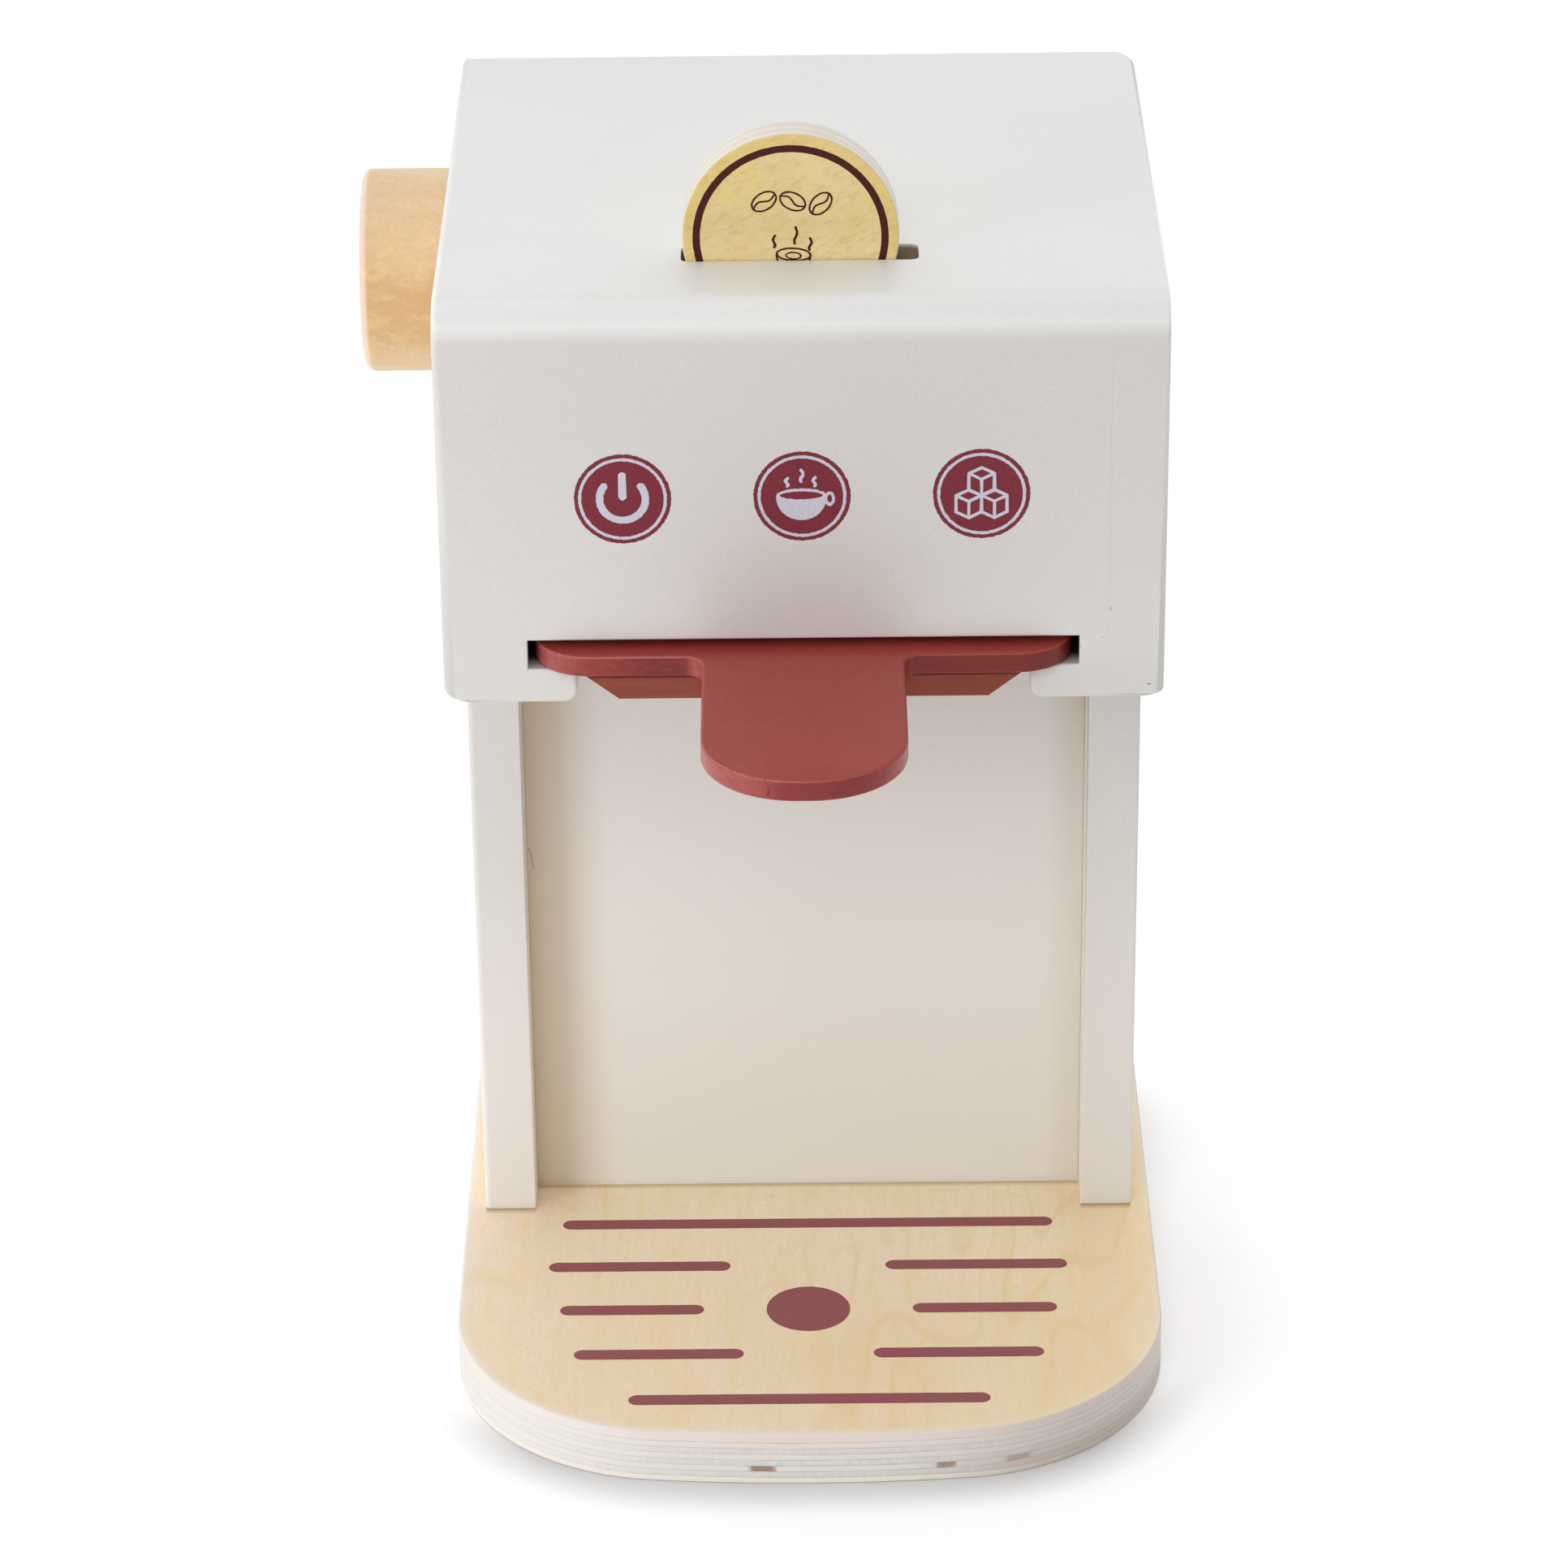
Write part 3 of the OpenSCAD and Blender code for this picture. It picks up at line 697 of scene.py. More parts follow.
def side_board(node, outer, inner, shape, seam):
    """A cheek: eased feet and a worn lower edge, and for the right one a seam and a worn rear edge."""
    low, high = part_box(node)
    inward = copysign(1, inner - outer)
    foot_x = tuple(sorted((outer, outer + inward * EDGE)))
    eased = [
        (FOOT_EASE, {"z": low.z, "y": (0.0, COLUMN_LOW.y - 2 * MM)}),
        (FOOT_EASE, {"z": low.z, "x": foot_x}),
        (REAR_JOINT, {"x": inner, "y": (high.y - EDGE, high.y)}),
    ]
    if seam:
        eased += [
            (SEAM, {"x": inner, "y": low.y, "z": (FRONT_LOW.z, high.z)}),
            (SEAM, {"x": inner, "y": (low.y, low.y + BEND), "z": (high.z - BEND, high.z)}),
            (SEAM, {"x": inner, "z": high.z}),
        ]

    def reshape(bm):
        wear(bm, outer, inward, Z_AXIS, RUNNER_LOW.z, 1, shape, COLUMN_START - TOLERANCE)
        if seam:
            wear(bm, outer, inward, Y_AXIS, high.y, -1, WORN_REAR)

    dress(node, "machine", "paint", PAINT, eased, reshape)


RUNNER_LOWER_R = 2.3 * MM
RUNNER_TOP_R = 0.5 * MM
WALL_W = 5.2 * MM          # width of a runner above its ledge
BOTTOM_EASE = 1.2 * MM     # easing of a runner's front edges: along its underside,
END_EASE = 0.6 * MM        # round the ledge's end,
LIP_EASE = 0.4 * MM        # and along the slot


def runner_section(width):
    """A runner's section as points (inward, up), each with the way and the amount of its front easing."""
    def turn(centre, radius, start, end, first, last, count=10):
        for i in range(count + 1):
            share = i / count
            angle = radians(start + (end - start) * share)
            way = Vector((cos(angle), sin(angle)))
            yield centre + radius * way, way, first + (last - first) * share
    low, high, ledge = RUNNER_LOW.z, RUNNER_HIGH.z, LEDGE_TOP
    down, up, inward = Vector((0, -1)), Vector((0, 1)), Vector((1, 0))
    lower = Vector((width - RUNNER_LOWER_R, low + RUNNER_LOWER_R))
    upper = Vector((width - RUNNER_TOP_R, ledge - RUNNER_TOP_R))
    return [
        (Vector((0, low)), down, BOTTOM_EASE),
        *turn(lower, RUNNER_LOWER_R, -90, 0, BOTTOM_EASE, END_EASE),
        *turn(upper, RUNNER_TOP_R, 0, 90, END_EASE, LIP_EASE, 4),
        (Vector((WALL_W + LIP_EASE, ledge)), up, LIP_EASE),
        (Vector((WALL_W, ledge)), up + inward, LIP_EASE),
        (Vector((WALL_W, high)), inward, LIP_EASE),
        (Vector((0, high)), up, 0.0),
    ]


def runner(node, side):
    """A rebated runner under the slot. Its front edges are rounded, and its faces in the slot are bare
    board, dark with painted shade.
    """
    low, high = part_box(node)
    section = runner_section(high.x - low.x)
    outer = low.x if side < 0 else high.x
    bm = bmesh.new()
    loops = []
    steps = 6
    for i in range(steps + 2):
        angle = radians(90 * min(i, steps) / steps)
        loop = []
        for point, way, amount in section:
            place = point - way * amount * (1 - sin(angle))
            depth = low.y + amount * (1 - cos(angle)) if i <= steps else high.y
            loop.append(bm.verts.new((outer - side * place.x, depth, place.y)))
        loops.append(loop)

    def finish(row, column):
        in_slot = section[column][0].y > LEDGE_TOP - TOLERANCE and column < len(section) - 2
        return 1 if in_slot and row >= steps else 0

    skin(bm, loops, finish)
    bm.faces.new(loops[0])
    bm.faces.new(loops[-1])
    bmesh.ops.remove_doubles(bm, verts=bm.verts, dist=JOINED)
    bmesh.ops.dissolve_degenerate(bm, dist=JOINED / 2, edges=bm.edges)
    bmesh.ops.recalc_face_normals(bm, faces=bm.faces)
    stand_in(node, bm, "machine", "paint", PAINT, SLOT_SHADE_WOOD)


def painted_body():
    """Every painted board, with the seams that show through the paint."""
    left, right = FRONT_LOW.x, FRONT_HIGH.x
    rear, top = BODY_HIGH.y, BODY_HIGH.z
    side_board("left_side_board", BODY_LOW.x, left, WORN_LEFT, seam=False)
    side_board("right_side_board", BODY_HIGH.x, right, WORN_RIGHT, seam=True)
    easings = {
        "front_panel": [(SEAM, {"x": right, "y": FRONT_LOW.y})],
        "top_panel": [
            (SLOT_EASE, {"x": SLOT_X, "y": SLOT_Y, "z": top}),
            (SEAM, {"x": right, "z": top}),
            (SEAM, {"x": right, "y": (FRONT_LOW.y, FRONT_LOW.y + BEND), "z": (top - BEND, top)}),
            (REAR_JOINT, {"y": rear, "z": TOP_LOW.z}),
        ],
        "column_panel": [
            (TIGHT_JOINT, {"x": left, "y": COLUMN_LOW.y}),
            (JOINT, {"x": right, "y": COLUMN_LOW.y}),
            (JOINT, {"y": COLUMN_LOW.y, "z": COLUMN_LOW.z}),
        ],
        "back_panel": [
            (REAR_JOINT, {"x": left, "y": rear}),
            (REAR_JOINT, {"x": right, "y": rear}),
            (REAR_JOINT, {"y": rear, "z": TOP_LOW.z}),
            (REAR_JOINT, {"y": rear, "z": COLUMN_LOW.z}),
        ],
    }
    for node, eased in easings.items():
        dress(node, "machine", "paint", PAINT, eased)
    runner("left_runner", -1)
    runner("right_runner", 1)


# ---- base plate

BASE_CORNER_R = 43 * MM
BASE_BOW_R = 300 * MM
BASE_REAR_R = 10 * MM
BASE_TOP_EASE = 0.6 * MM
RIM_FADE = 1.6 * MM        # how far the painted highlight on the rim fades inwards
BASE_FOOT_EASE = 0.3 * MM
GLUE_GROOVE = 0.06 * MM
SAW_MARKS = 0.03 * MM      # how rough the edge is, either way
SCREW_X = 60.1 * MM
SCREW_HOLES = [(x, y) for x in (-SCREW_X, SCREW_X) for y in (18 * MM, 62.4 * MM)]
SCREW_HOLES += [(0.0, 22.5 * MM), (0.0, 67.3 * MM)]
SCREW_HEAD_R = 4.2 * MM
SCREW_SHANK_R = 2.05 * MM
SCREW_SUNK = 0.8 * MM      # height of the straight hole under it
SCREW_CONE = 2.2 * MM      # height of the countersink
KNOTS = [(-9.1, 2.7, 0.5), (25.8, 2.1, 0.4), (39.6, 2.6, 0.15)]      # x, half width and depth, in mm
KNOT_PLY = 2               # counted from the bottom, the lowest ply being 0
KNOT_FADE = 0.7 * MM       # how far a knot's end takes to reach its full depth


def arc(centre, radius, start, end, step):
    """Points and outward normals along an arc, from start up to but not including end, in degrees."""
    count = max(1, round(radians(end - start) * radius / step))
    for i in range(count):
        angle = radians(start + (end - start) * i / count)
        normal = Vector((cos(angle), sin(angle)))
        yield Vector(centre) + radius * normal, normal


def line(start, end, step):
    """Points and outward normals along a straight side, walked anticlockwise."""
    start, end = Vector(start), Vector(end)
    along = (end - start).normalized()
    count = max(1, round((end - start).length / step))
    for i in range(count):
        yield start.lerp(end, i / count), Vector((along.y, -along.x))


def base_outline():
    """The base plate's outline, anticlockwise from above, as points and outward normals."""
    half, rear = BASE_HIGH.x, BASE_HIGH.y
    bow_centre = (0.0, BASE_BOW_R - rear)
    corner_x = half - BASE_CORNER_R
    corner_y = bow_centre[1] - sqrt((BASE_BOW_R - BASE_CORNER_R) ** 2 - corner_x ** 2)
    bow = degrees(asin(corner_x / (BASE_BOW_R - BASE_CORNER_R)))
    inset_x, inset_y = half - BASE_REAR_R, rear - BASE_REAR_R
    fine, coarse = 0.6 * MM, 2 * MM
    return [
        *line((half, corner_y), (half, inset_y), coarse),
        *arc((inset_x, inset_y), BASE_REAR_R, 0, 90, fine),
        *line((inset_x, rear), (-inset_x, rear), coarse),
        *arc((-inset_x, inset_y), BASE_REAR_R, 90, 180, fine),
        *line((-half, inset_y), (-half, corner_y), coarse),
        *arc((-corner_x, corner_y), BASE_CORNER_R, 180, 270 - bow, fine),
        *arc(bow_centre, BASE_BOW_R, 270 - bow, 270 + bow, fine),
        *arc((corner_x, corner_y), BASE_CORNER_R, 270 + bow, 360, fine),
    ]


def edge_rows():
    """Heights up the base plate's edge, each with how far the eased arrises stand in there."""
    foot, top = BASE_FOOT_EASE, BASE_TOP_EASE
    top_start = BASE_HIGH.z - top
    rows = curve(foot, foot, -foot, -foot, 0, 90, 4)[:-1]
    near_glue = 0.1 * MM
    for ply in range(PLY_COUNT + 1):
        for rise in (0.0, near_glue, 0.35 * PLY, 0.65 * PLY, PLY - near_glue):
            height = ply * PLY + rise
            if foot < height < top_start:
                rows.append((height, 0.0))
    return rows + curve(top_start, top, top, -top, 90, 0, 6) + [(BASE_HIGH.z, top + RIM_FADE)]


def knot_depth(point, height):
    """How deep an open knot is at a point of the front edge, and how dark its wood is there."""
    ply = height / PLY - KNOT_PLY
    if point.y > 0 or not 0.02 < ply < 0.98:
        return 0.0, 0.0
    depth = dark = 0.0
    for middle, half, deepest in KNOTS:
        ragged = noise.noise(Vector((point.x * 900, ply * 2, middle * MM * 99)))
        share = (half * MM - abs(point.x - middle * MM)) / KNOT_FADE + 0.5 * ragged
        share = min(1.0, max(0.0, share))
        depth = max(depth, share * deepest * MM)
        dark = max(dark, share * min(1.0, 0.35 + deepest))
    return depth, dark


def groove_depth(point, height):
    """How far the edge stands in where its plies are glued, and by the saw's rough cut."""
    if not BASE_FOOT_EASE <= height <= BASE_HIGH.z - BASE_TOP_EASE:
        return 0.0
    ply = height / PLY
    glued = abs(ply - round(ply)) < 0.02 and 0 < round(ply) <= PLY_COUNT
    rough = noise.noise(Vector((point.x * 90, point.y * 90, ply // 1 * 7.3)))
    return (GLUE_GROOVE if glued else 0.0) + SAW_MARKS * (1 + rough)


def base_plate():
    """The plywood base: grain on its faces, and plies, glue lines and open knots round its edge."""
    bm = bmesh.new()
    stain = bm.verts.layers.float.new(STAIN)
    rim = bm.verts.layers.float.new(RIM)
    outline = base_outline()
    loops = []
    for height, inset in edge_rows():
        loop = []
        for point, normal in outline:
            depth, dark = knot_depth(point, height)
            place = point - normal * (inset + groove_depth(point, height) + depth)
            vert = bm.verts.new((place.x, place.y, height))
            vert[stain] = dark
            vert[rim] = 1.0 if inset < BASE_TOP_EASE + TOLERANCE else 0.0
            loop.append(vert)
        loops.append(loop)
    top_row = len(loops) - 4      # the eased upper edge's last rows belong to the veneer
    skin(bm, loops, lambda row, column: 0 if row >= top_row else 1)
    bm.faces.new(loops[-1])
    rims = closed_edges(bm, loops[0])
    for hole in SCREW_HOLES:
        rims += screw_hole(bm, hole)
    filled = bmesh.ops.triangle_fill(bm, use_beauty=True, edges=rims, normal=(0, 0, -1))
    for face in filled["geom"]:
        if isinstance(face, bmesh.types.BMFace) and face.normal.z > 0:
            face.normal_flip()
    stand_in("base_plate", bm, "machine", "plywood", VENEER, PLY_EDGE)


def closed_edges(bm, loop):
    """The edges round a closed row of vertices."""
    return [bm.edges.get(ends) for ends in zip(loop, loop[1:] + loop[:1])]


def screw_hole(bm, centre, segments=32):
    """A countersunk hole in the underside. Returns the edges of its mouth."""
    rings = []
    levels = [(0.0, SCREW_HEAD_R), (SCREW_SUNK, SCREW_HEAD_R), (SCREW_SUNK + SCREW_CONE, SCREW_SHANK_R)]
    for height, radius in levels:
        mouth = ellipse(*centre, radius, radius, segments)[0]
        rings.append([bm.verts.new((x, y, height)) for x, y in mouth])
    skin(bm, rings[::-1])
    bm.faces.new(rings[-1][::-1])
    return closed_edges(bm, rings[0])


# ---- portafilter, token, knob, fittings

PLATE_EASE = 0.6 * MM
BASKET_EASE = 0.5 * MM
FITTINGS = {
    "knob_axle": BEECH,
    "knob_collar": BEECH,
    "panel_dowels": BARE_WOOD,
    "token_block": BARE_WOOD,
    "base_screws": ZINC,
}


def loose_pieces():
    """The pieces that move, and the looks of the fittings that stay as the CAD has them."""
    dress("portafilter_plate", "portafilter", "red_paint", RED, [
        (PLATE_EASE, {"z": PLATE_HIGH.z}),
        (PLATE_EASE, {"z": PLATE_LOW.z}),
    ])
    dress("portafilter_basket", "portafilter", "brown_stain", BROWN, [
        (BASKET_EASE, {"y": BASKET_LOW.y}),
        (BASKET_EASE, {"z": BASKET_LOW.z}),
    ])
    dress("token", "token", "token_wood", TOKEN_WOOD)
    dress("knob", "knob", "beech", BEECH)
    for fitting, finish in FITTINGS.items():
        fitted = frame["nodes"][fitting]
        fitted.data.materials.clear()
        fitted.data.materials.append(finish)


# ---- prints: their shapes are given in millimetres, as right and up

INK = 0.03 * MM            # how far a print stands out of the face under it
INK_WAVES = 2.9            # how closely its outline wavers, per millimetre


def strayed(u, v, stray):
    """A point of a printed outline, moved by up to stray as ink runs."""
    where = Vector((u * INK_WAVES, v * INK_WAVES, 0.5))
    return Vector((u + stray * noise.noise(where), v + stray * noise.noise(where + Vector((0, 0, 9)))))


def curve(u, v, half_u, half_v, start, end, count):
    """Points along an ellipse about (u, v), from a start to an end angle in degrees."""
    turns = [radians(start + (end - start) * i / count) for i in range(count + 1)]
    return [(u + half_u * cos(t), v + half_v * sin(t)) for t in turns]


def ellipse(u, v, half_u, half_v, count=96):
    """A filled ellipse about (u, v), as one polygon."""
    return [curve(u, v, half_u, half_v, 0, 360, count)[:-1]]


def band(points_out, points_in):
    """The strip between two rows of points, as quads."""
    pairs = list(zip(points_out, points_in))
    return [[a[0], b[0], b[1], a[1]] for a, b in zip(pairs, pairs[1:])]


def ring(u, v, outer, inner, count=144):
    """A ring between two ellipses, each given as its two half widths."""
    return band(curve(u, v, *outer, 0, 360, count), curve(u, v, *inner, 0, 360, count))


def stroke(points, width):
    """A line of the given width through the points, with round ends and joints."""
    shapes = []
    for start, end in zip(points, points[1:]):
        a, b = Vector(start), Vector(end)
        side = (b - a).normalized().orthogonal() * width / 2
        shapes.append([tuple(a + side), tuple(a - side), tuple(b - side), tuple(b + side)])
    for u, v in points:
        shapes += ellipse(u, v, width / 2, width / 2, 20)
    return shapes


def level_line(first, last, v, width, pitch=0.8):
    """A level line with round ends, as one polygon with points close enough for its edges to stray."""
    radius = width / 2
    count = max(2, round((last - first) / pitch))
    along = [first + (last - first) * i / count for i in range(1, count)]
    right = curve(last, v, radius, radius, -90, 90, 12)
    left = curve(first, v, radius, radius, 90, 270, 12)
    above = [(u, v + radius) for u in reversed(along)]
    below = [(u, v - radius) for u in along]
    return [right + above + left + below]


def scaled(shapes, size, du=0.0, dv=0.0, turn=0.0):
    """The shapes, made size times as large, turned by an angle in degrees and moved."""
    along, off = cos(radians(turn)) * size, sin(radians(turn)) * size
    return [[(u * along - v * off + du, u * off + v * along + dv) for u, v in shape] for shape in shapes]


def covers(outline, point):
    """True if the point lies inside the polygon."""
    found = False
    for a, b in zip(outline, outline[1:] + outline[:1]):
        passes = (a.y > point.y) != (b.y > point.y)
        if passes and point.x < a.x + (b.x - a.x) * (point.y - a.y) / (b.y - a.y):
            found = not found
    return found


def printed(name, shapes, place, body, slot, material, lift=0.0, stray=0.05):
    """Prints shapes on the face that place lays them on, lift metres above it."""
    outlines = [[strayed(u, v, stray) for u, v in shape] for shape in shapes]
    points, faces = [], []
    for outline in outlines:
        faces.append(list(range(len(points), len(points) + len(outline))))
        points += outline
    flat = geometry.delaunay_2d_cdt(points, [], faces, 1, 0.002)
    bm = bmesh.new()
    top = [bm.verts.new((p.x * MM, p.y * MM, lift + INK)) for p in flat[0]]
    for triangle, shapes_under in zip(flat[2], flat[5]):
        middle = sum((flat[0][i] for i in triangle), Vector((0, 0))) / 3
        if any(covers(outlines[i], middle) for i in shapes_under):
            bm.faces.new([top[i] for i in triangle])
    bmesh.ops.delete(bm, geom=[vert for vert in bm.verts if not vert.link_faces], context="VERTS")
    bm.normal_update()
    for face in bm.faces:
        if face.normal.z < 0:
            face.normal_flip()
    rim = [edge for edge in bm.edges if len(edge.link_faces) == 1]
    wall = bmesh.ops.extrude_edge_only(bm, edges=rim)
    for vert in wall["geom"]:
        if isinstance(vert, bmesh.types.BMVert):
            vert.co.z = lift
    bmesh.ops.recalc_face_normals(bm, faces=bm.faces)
    bm.transform(place)
    new_piece(name, bm, body, slot, material)


ON_BASE = Matrix.Translation((-0.16 * MM, 0.0, BASE_HIGH.z))
ON_FRONT = Matrix.Rotation(radians(90), 4, "X")

LINE_PITCH = 16.25         # between the tray's printed lines
LINE_WIDTH = 3.5
TRAY_CENTRE_Y = -30.95
TRAY_DOT_R = 8.2
# Row by row, how far from the middle a printed line starts and ends. From 0 it is one line right across.
TRAY_ENDS = {2: (0.0, 49.2), 1: (15.4, 51.5), 0: (20.5, 48.8), -1: (12.6, 45.6), -2: (0.0, 34.7)}


def tray_print():
    """The drip tray printed on the base: long and short lines about a dot."""
    cap = LINE_WIDTH / 2
    shapes = ellipse(0, TRAY_CENTRE_Y, TRAY_DOT_R, TRAY_DOT_R)
    for row, (start, end) in TRAY_ENDS.items():
        sides = [(start + cap, end - cap), (-end + cap, -start - cap)]
        if start == 0.0:
            sides = [(-end + cap, end - cap)]
        for first, last in sides:
            shapes += level_line(first, last, TRAY_CENTRE_Y + row * LINE_PITCH, LINE_WIDTH)
    printed("tray_print", shapes, ON_BASE, "machine", "plywood", MAROON)


def power_symbol():
    """A ring open at the top, with an upright bar in the gap."""
    middle, width, gap = 4.1, 1.34, 53
    outer, inner = middle + width / 2, middle - width / 2
    start, end = 90 + gap, 450 - gap
    shapes = band(curve(0, 0, outer, outer, start, end, 60), curve(0, 0, inner, inner, start, end, 60))
    for u, v in curve(0, 0, middle, middle, start, end, 1):
        shapes += ellipse(u, v, width / 2, width / 2, 24)
    return shapes + stroke([(0, 4.6), (0, 0.4)], width)


def wisp(u, v, height, lean):
    """A wavy stroke of steam, standing on (u, v)."""
    shares = [i / 8 for i in range(9)]
    waves = [sin(share * 2 * pi + 0.6) for share in shares]
    return stroke([(u + lean * 0.24 * wave, v + height * share) for share, wave in zip(shares, waves)], 0.56)


def cup_symbol():
    """A round cup with a handle, and steam over it."""
    bowl = curve(-0.1, -0.1, 4.5, 4.55, 180, 360, 40)
    liquid = curve(-0.1, 0.2, -3.85, 0.8, 180, 360, 40)
    shapes = [bowl + [(4.4, 0.2)] + liquid + [(-4.6, 0.2)]]
    shapes += ring(-0.1, 0.1, (4.55, 1.42), (3.85, 0.86))
    shapes += ring(4.95, -0.5, (0.92, 1.42), (0.42, 0.78), 48)
    return shapes + wisp(-2.7, 2.0, 1.5, 1.0) + wisp(0.0, 2.9, 2.2, -1.0) + wisp(2.2, 2.0, 1.6, 1.0)


def cube_symbol(u, v):
    """One cube drawn from above a corner; (u, v) is the far corner of its top."""
    across, fall, tall, width = 2.28, 1.13, 3.2, 0.58
    left, right, near = (u - across, v - fall), (u + across, v - fall), (u, v - 2 * fall)
    low_left, painted_shade_low_right, low_near = ((point[0], point[1] - tall) for point in (left, right, near))
    shapes = stroke([(u, v), left, near, right, (u, v)], width)
    shapes += stroke([left, low_left, low_near, painted_shade_low_right, right], width)
    return shapes + stroke([near, low_near], width)


def ice_symbol():
    """Three stacked cubes."""
    return cube_symbol(0, 5.1) + cube_symbol(-2.28, 0.8) + cube_symbol(2.28, 0.8)


DISC_R = 8.66
DISC_RING = (7.92, 7.36)   # outer and inner radius
DISC_Z = 197.15
DISC_PITCH = 32.0
DISCS = {                  # each disc's symbol, its place in the row and how much higher it was printed
    "power": (power_symbol, -1, -0.22),
    "cup": (cup_symbol, 0, 0.0),
    "ice": (ice_symbol, 1, 0.15),
}


def front_prints():
    """Three printed discs on the head's front."""
    outer, inner = DISC_RING
    for name, (symbol, column, shift) in DISCS.items():
        place = Matrix.Translation((column * DISC_PITCH * MM, FRONT_LOW.y, (DISC_Z + shift) * MM)) @ ON_FRONT
        disc = ellipse(0, 0, DISC_R, DISC_R, 260)
        printed(name + "_disc", disc, place, "machine", "paint", DISC_INK, 0.0, 0.13)
        shapes = symbol() + ring(0, 0, (outer, outer), (inner, inner), 240)
        printed(name + "_symbol", shapes, place, "machine", "paint", PALE_INK, INK, 0.1)


TOKEN_RING = (17.5, 16.2)
TOKEN_PRINT_TURN = -3.5
TOKEN_PRINT_DROP = 0.25
BEANS = [(-5.1, 6.6, 38), (0.0, 6.9, -24), (5.0, 6.7, 52)]      # centre, and turn in degrees
BEAN_SIZE = 0.74


def bean_symbol():
    """A coffee bean: an outline with a wavy cleft."""
    count = 12
    cleft = [(-2.9 + 5.8 * i / count, 0.55 * sin(2 * pi * i / count)) for i in range(count + 1)]
    return ring(0, 0, (3.5, 2.35), (3.0, 1.9), 72) + stroke(cleft, 0.45)


def small_cup_symbol():
    """A cup seen from a little above, drawn in thin lines, with steam."""
    shapes = ring(0, 0, (3.2, 1.35), (2.82, 1.0), 72) + ring(0, -0.25, (1.5, 0.75), (1.18, 0.48), 60)
    shapes += stroke(curve(0, 0, 3.0, 3.6, 180, 360, 24), 0.4)
    for u, v, height, lean in ((-3.6, 1.2, 2.6, 1.0), (0.2, 2.1, 3.6, -1.0), (2.9, 1.0, 2.6, -1.0)):
        shapes += scaled(wisp(0, 0, height, lean), 0.85, u, v)
    return shapes


def token_print():
    """A ring, a row of coffee beans and a small cup on the token's face."""
    place = Matrix.Translation((TOKEN_CENTRE.x, TOKEN_LOW.y, TOKEN_CENTRE.z - TOKEN_PRINT_DROP * MM))
    place = place @ ON_FRONT @ Matrix.Rotation(radians(TOKEN_PRINT_TURN), 4, "Z")
    outer, inner = TOKEN_RING
    shapes = ring(0, 0, (outer, outer), (inner, inner), 200)
    for u, v, turn in BEANS:
        shapes += scaled(bean_symbol(), BEAN_SIZE, u, v, turn)
    shapes += scaled(small_cup_symbol(), 1.0, 0.7, -3.2)
    printed("token_print", shapes, place, "token", "token_wood", DARK_INK)


# ---- stage, light and camera

SKY_FRONT = 0.1            # how bright the studio is before the object
SKY_BACK = 1.42            # and behind it, where the backdrop is
SKY_TINT = (0.98, 0.99, 1.0, 1.0)
FLOOR_HALF = 0.6
FLOOR_DROP = 0.1 * MM      # how far the floor lies under the object's foot
FLOOR_GLOW = 0.205         # what the camera sees the floor brighter by, so that it is white
CONTACT = 12 * MM          # how far from the object the floor's painted contact shadow reaches,
CONTACT_LOSS = 0.48        # how much of it at most,
CONTACT_AHEAD = (-35 * MM, -70 * MM)      # and where, along Y, that sets in and is full
PHOTO_SIDE = 1932          # the photograph's camera, fitted to the object's straight edges, in pixels
PHOTO_FOCAL = 7304.24
PHOTO_CENTRE = (900.32, 982.64)
CAMERA_PLACE = (-0.70, -1022.94, 628.47)      # in millimetres
CAMERA_TURN = (0.761, -26.963, -0.882)        # yaw, pitch and roll, in degrees


def floor_material():
    """White, lit up for the eye alone, with a painted contact shadow from ambient occlusion close before the
    object.
    """
    graph = Finish("floor", 0.9, 0.0)
    graph.set(graph.shader, "Base Color", grey(0.97))
    seen = graph.looking()
    glow = graph.add("Emission", 0, {"Strength": seen * FLOOR_GLOW})
    white = graph.add("AddShader", 0, {0: Value(graph, graph.shader.outputs[0]), 1: glow})
    nearby = graph.add("AmbientOcclusion", "AO", {"Distance": CONTACT}, samples=4)
    contact_shadow_share = nearby.scale(0.0, CONTACT_LOSS, 1.0, 0.5)
    before = graph.y.step(*CONTACT_AHEAD).scale(0.05, 1.0)
    shaded = graph.add("MixShader", 0, {0: seen * contact_shadow_share * before, 1: white})
    graph.set(graph.tree.nodes["Material Output"], "Surface", shaded)
    return graph.material


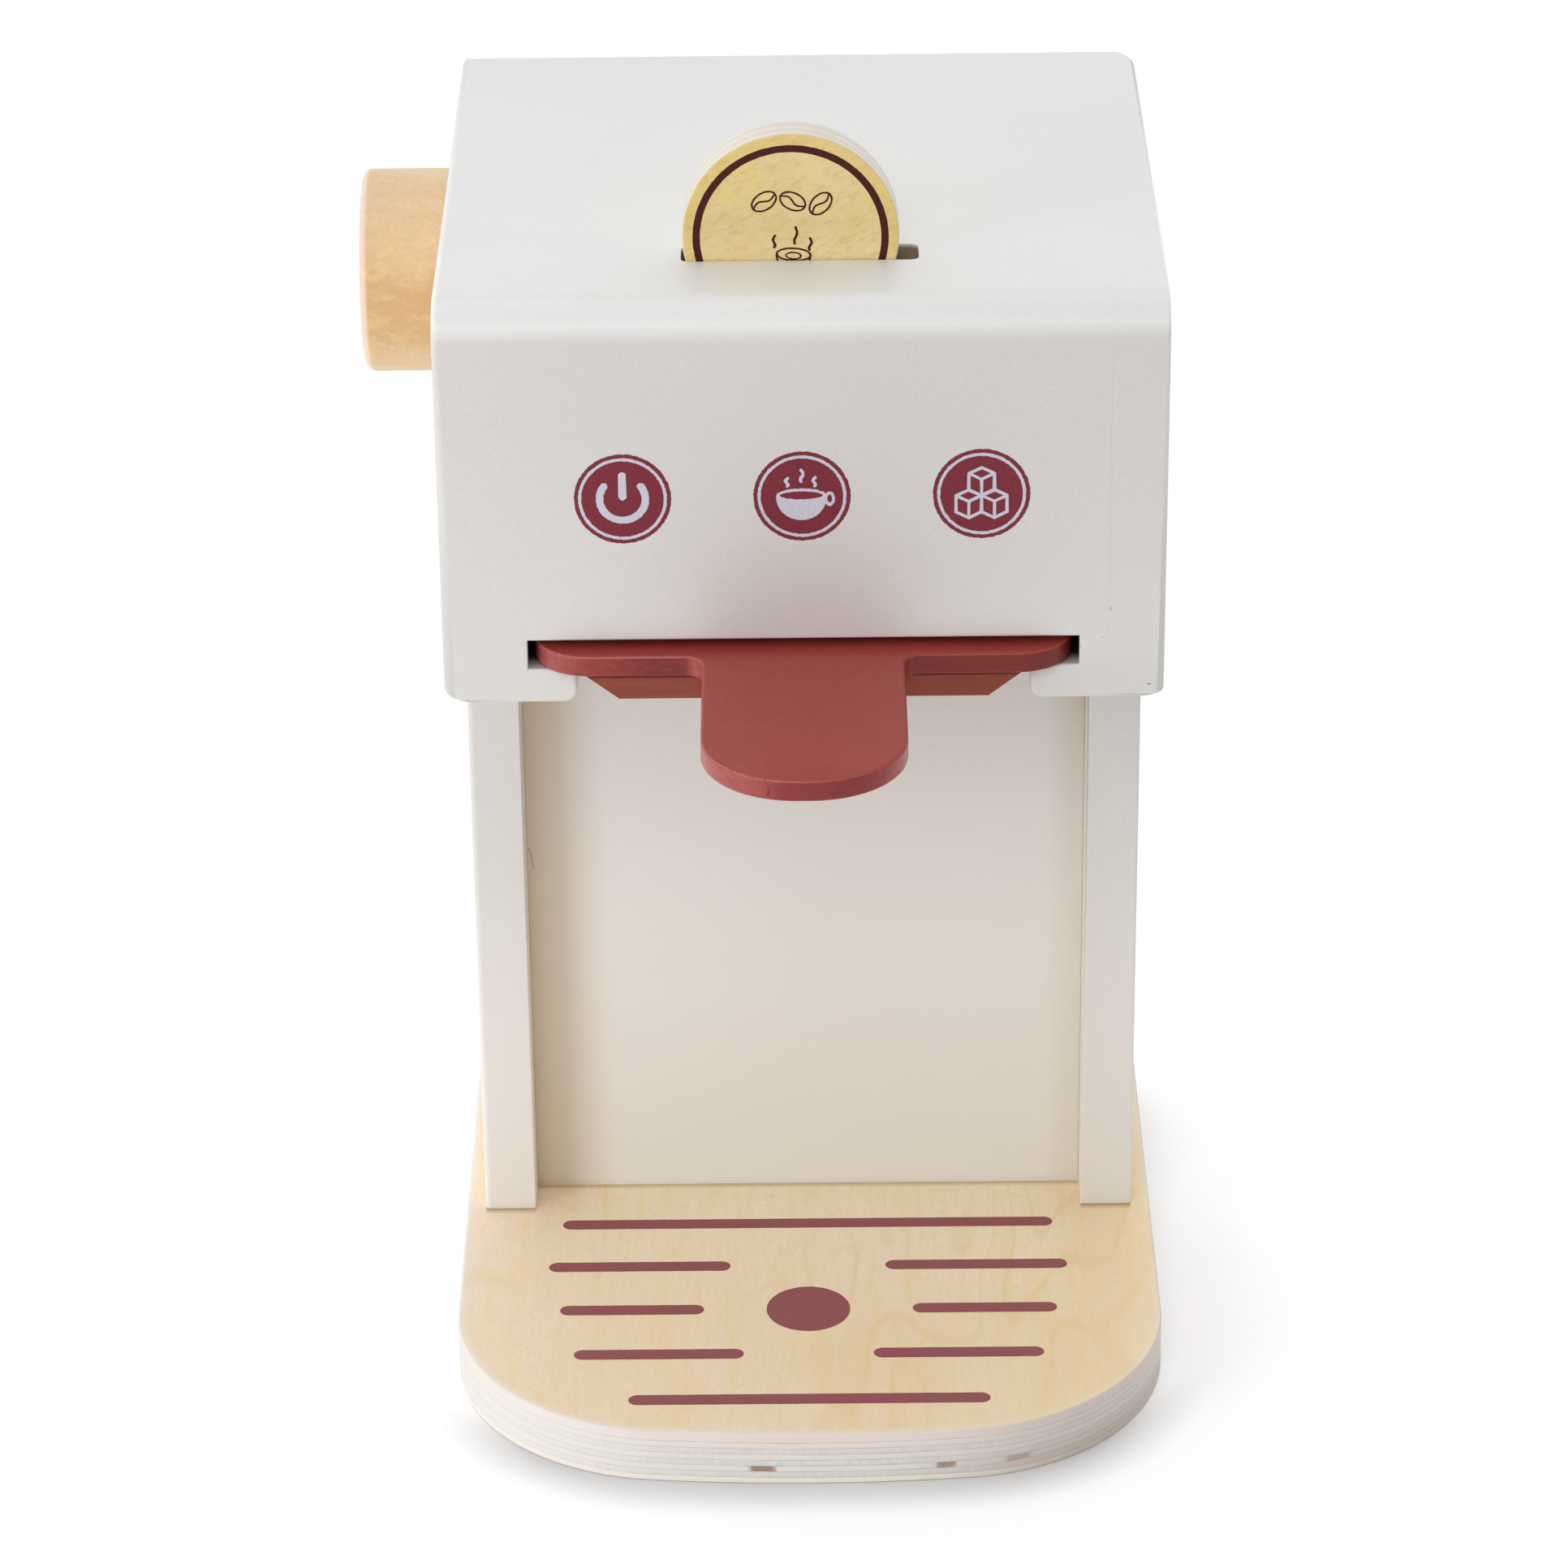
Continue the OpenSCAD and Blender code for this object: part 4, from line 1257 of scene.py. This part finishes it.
def floor():
    """A white floor that keeps the object's soft shadow, with a painted contact shadow before it."""
    bm = bmesh.new()
    corners = [(-FLOOR_HALF, -FLOOR_HALF), (FLOOR_HALF, -FLOOR_HALF)]
    corners += [(FLOOR_HALF, FLOOR_HALF), (-FLOOR_HALF, FLOOR_HALF)]
    bm.faces.new([bm.verts.new((x, y, -FLOOR_DROP)) for x, y in corners])
    mesh = bpy.data.meshes.new("floor")
    bm.to_mesh(mesh)
    bm.free()
    mesh.materials.append(floor_material())
    add_object("floor", mesh)


def world():
    """A pale studio, brighter towards the back, that the camera sees as white."""
    made = bpy.data.worlds.new("studio")
    bpy.context.scene.world = made
    made.use_nodes = True
    graph = Graph(made.node_tree, "Generated")
    sky = graph.tree.nodes["Background"]
    seen = graph.looking()
    graph.set(sky, "Color", graph.mix(seen, SKY_TINT, grey(1.0)))
    level = graph.y.scale(SKY_FRONT, SKY_BACK, -1.0, 1.0)
    graph.set(sky, "Strength", graph.add("Mix", 0, {0: seen, 2: level, 3: 1.0}))


def lamp(name, place, target, size, power):
    """A square soft lamp that faces a point."""
    data = bpy.data.lights.new(name, "AREA")
    data.shape = "SQUARE"
    data.size = size
    data.energy = power
    made = add_object(name, data)
    made.location = place
    made.rotation_euler = (Vector(target) - Vector(place)).to_track_quat("-Z", "Y").to_euler()


def camera():
    """The photograph's camera."""
    yaw, pitch, roll = (radians(angle) for angle in CAMERA_TURN)
    turn = Matrix.Rotation(yaw, 4, "Z") @ Matrix.Rotation(radians(90) + pitch, 4, "X")
    turn = turn @ Matrix.Rotation(roll, 4, "Z")
    data = bpy.data.cameras.new("camera")
    data.sensor_width = 36.0
    data.lens = PHOTO_FOCAL * data.sensor_width / PHOTO_SIDE
    data.shift_x = (PHOTO_SIDE / 2 - PHOTO_CENTRE[0]) / PHOTO_SIDE
    data.shift_y = (PHOTO_CENTRE[1] - PHOTO_SIDE / 2) / PHOTO_SIDE
    data.clip_start, data.clip_end = 0.01, 50.0
    made = add_object("camera", data)
    made.matrix_world = Matrix.Translation(Vector(CAMERA_PLACE) * MM) @ turn
    bpy.context.scene.camera = made


painted_body()
base_plate()
loose_pieces()
tray_print()
front_prints()
token_print()
floor()
world()
lamp("key", place=(-0.72, -0.6, 0.36), target=(0, 0, 0.08), size=0.4, power=2.5)
lamp("front", place=(-0.15, -0.95, 0.85), target=(0, 0, 0.03), size=0.6, power=2.8)
camera()
bpy.context.scene.view_settings.view_transform = "Standard"
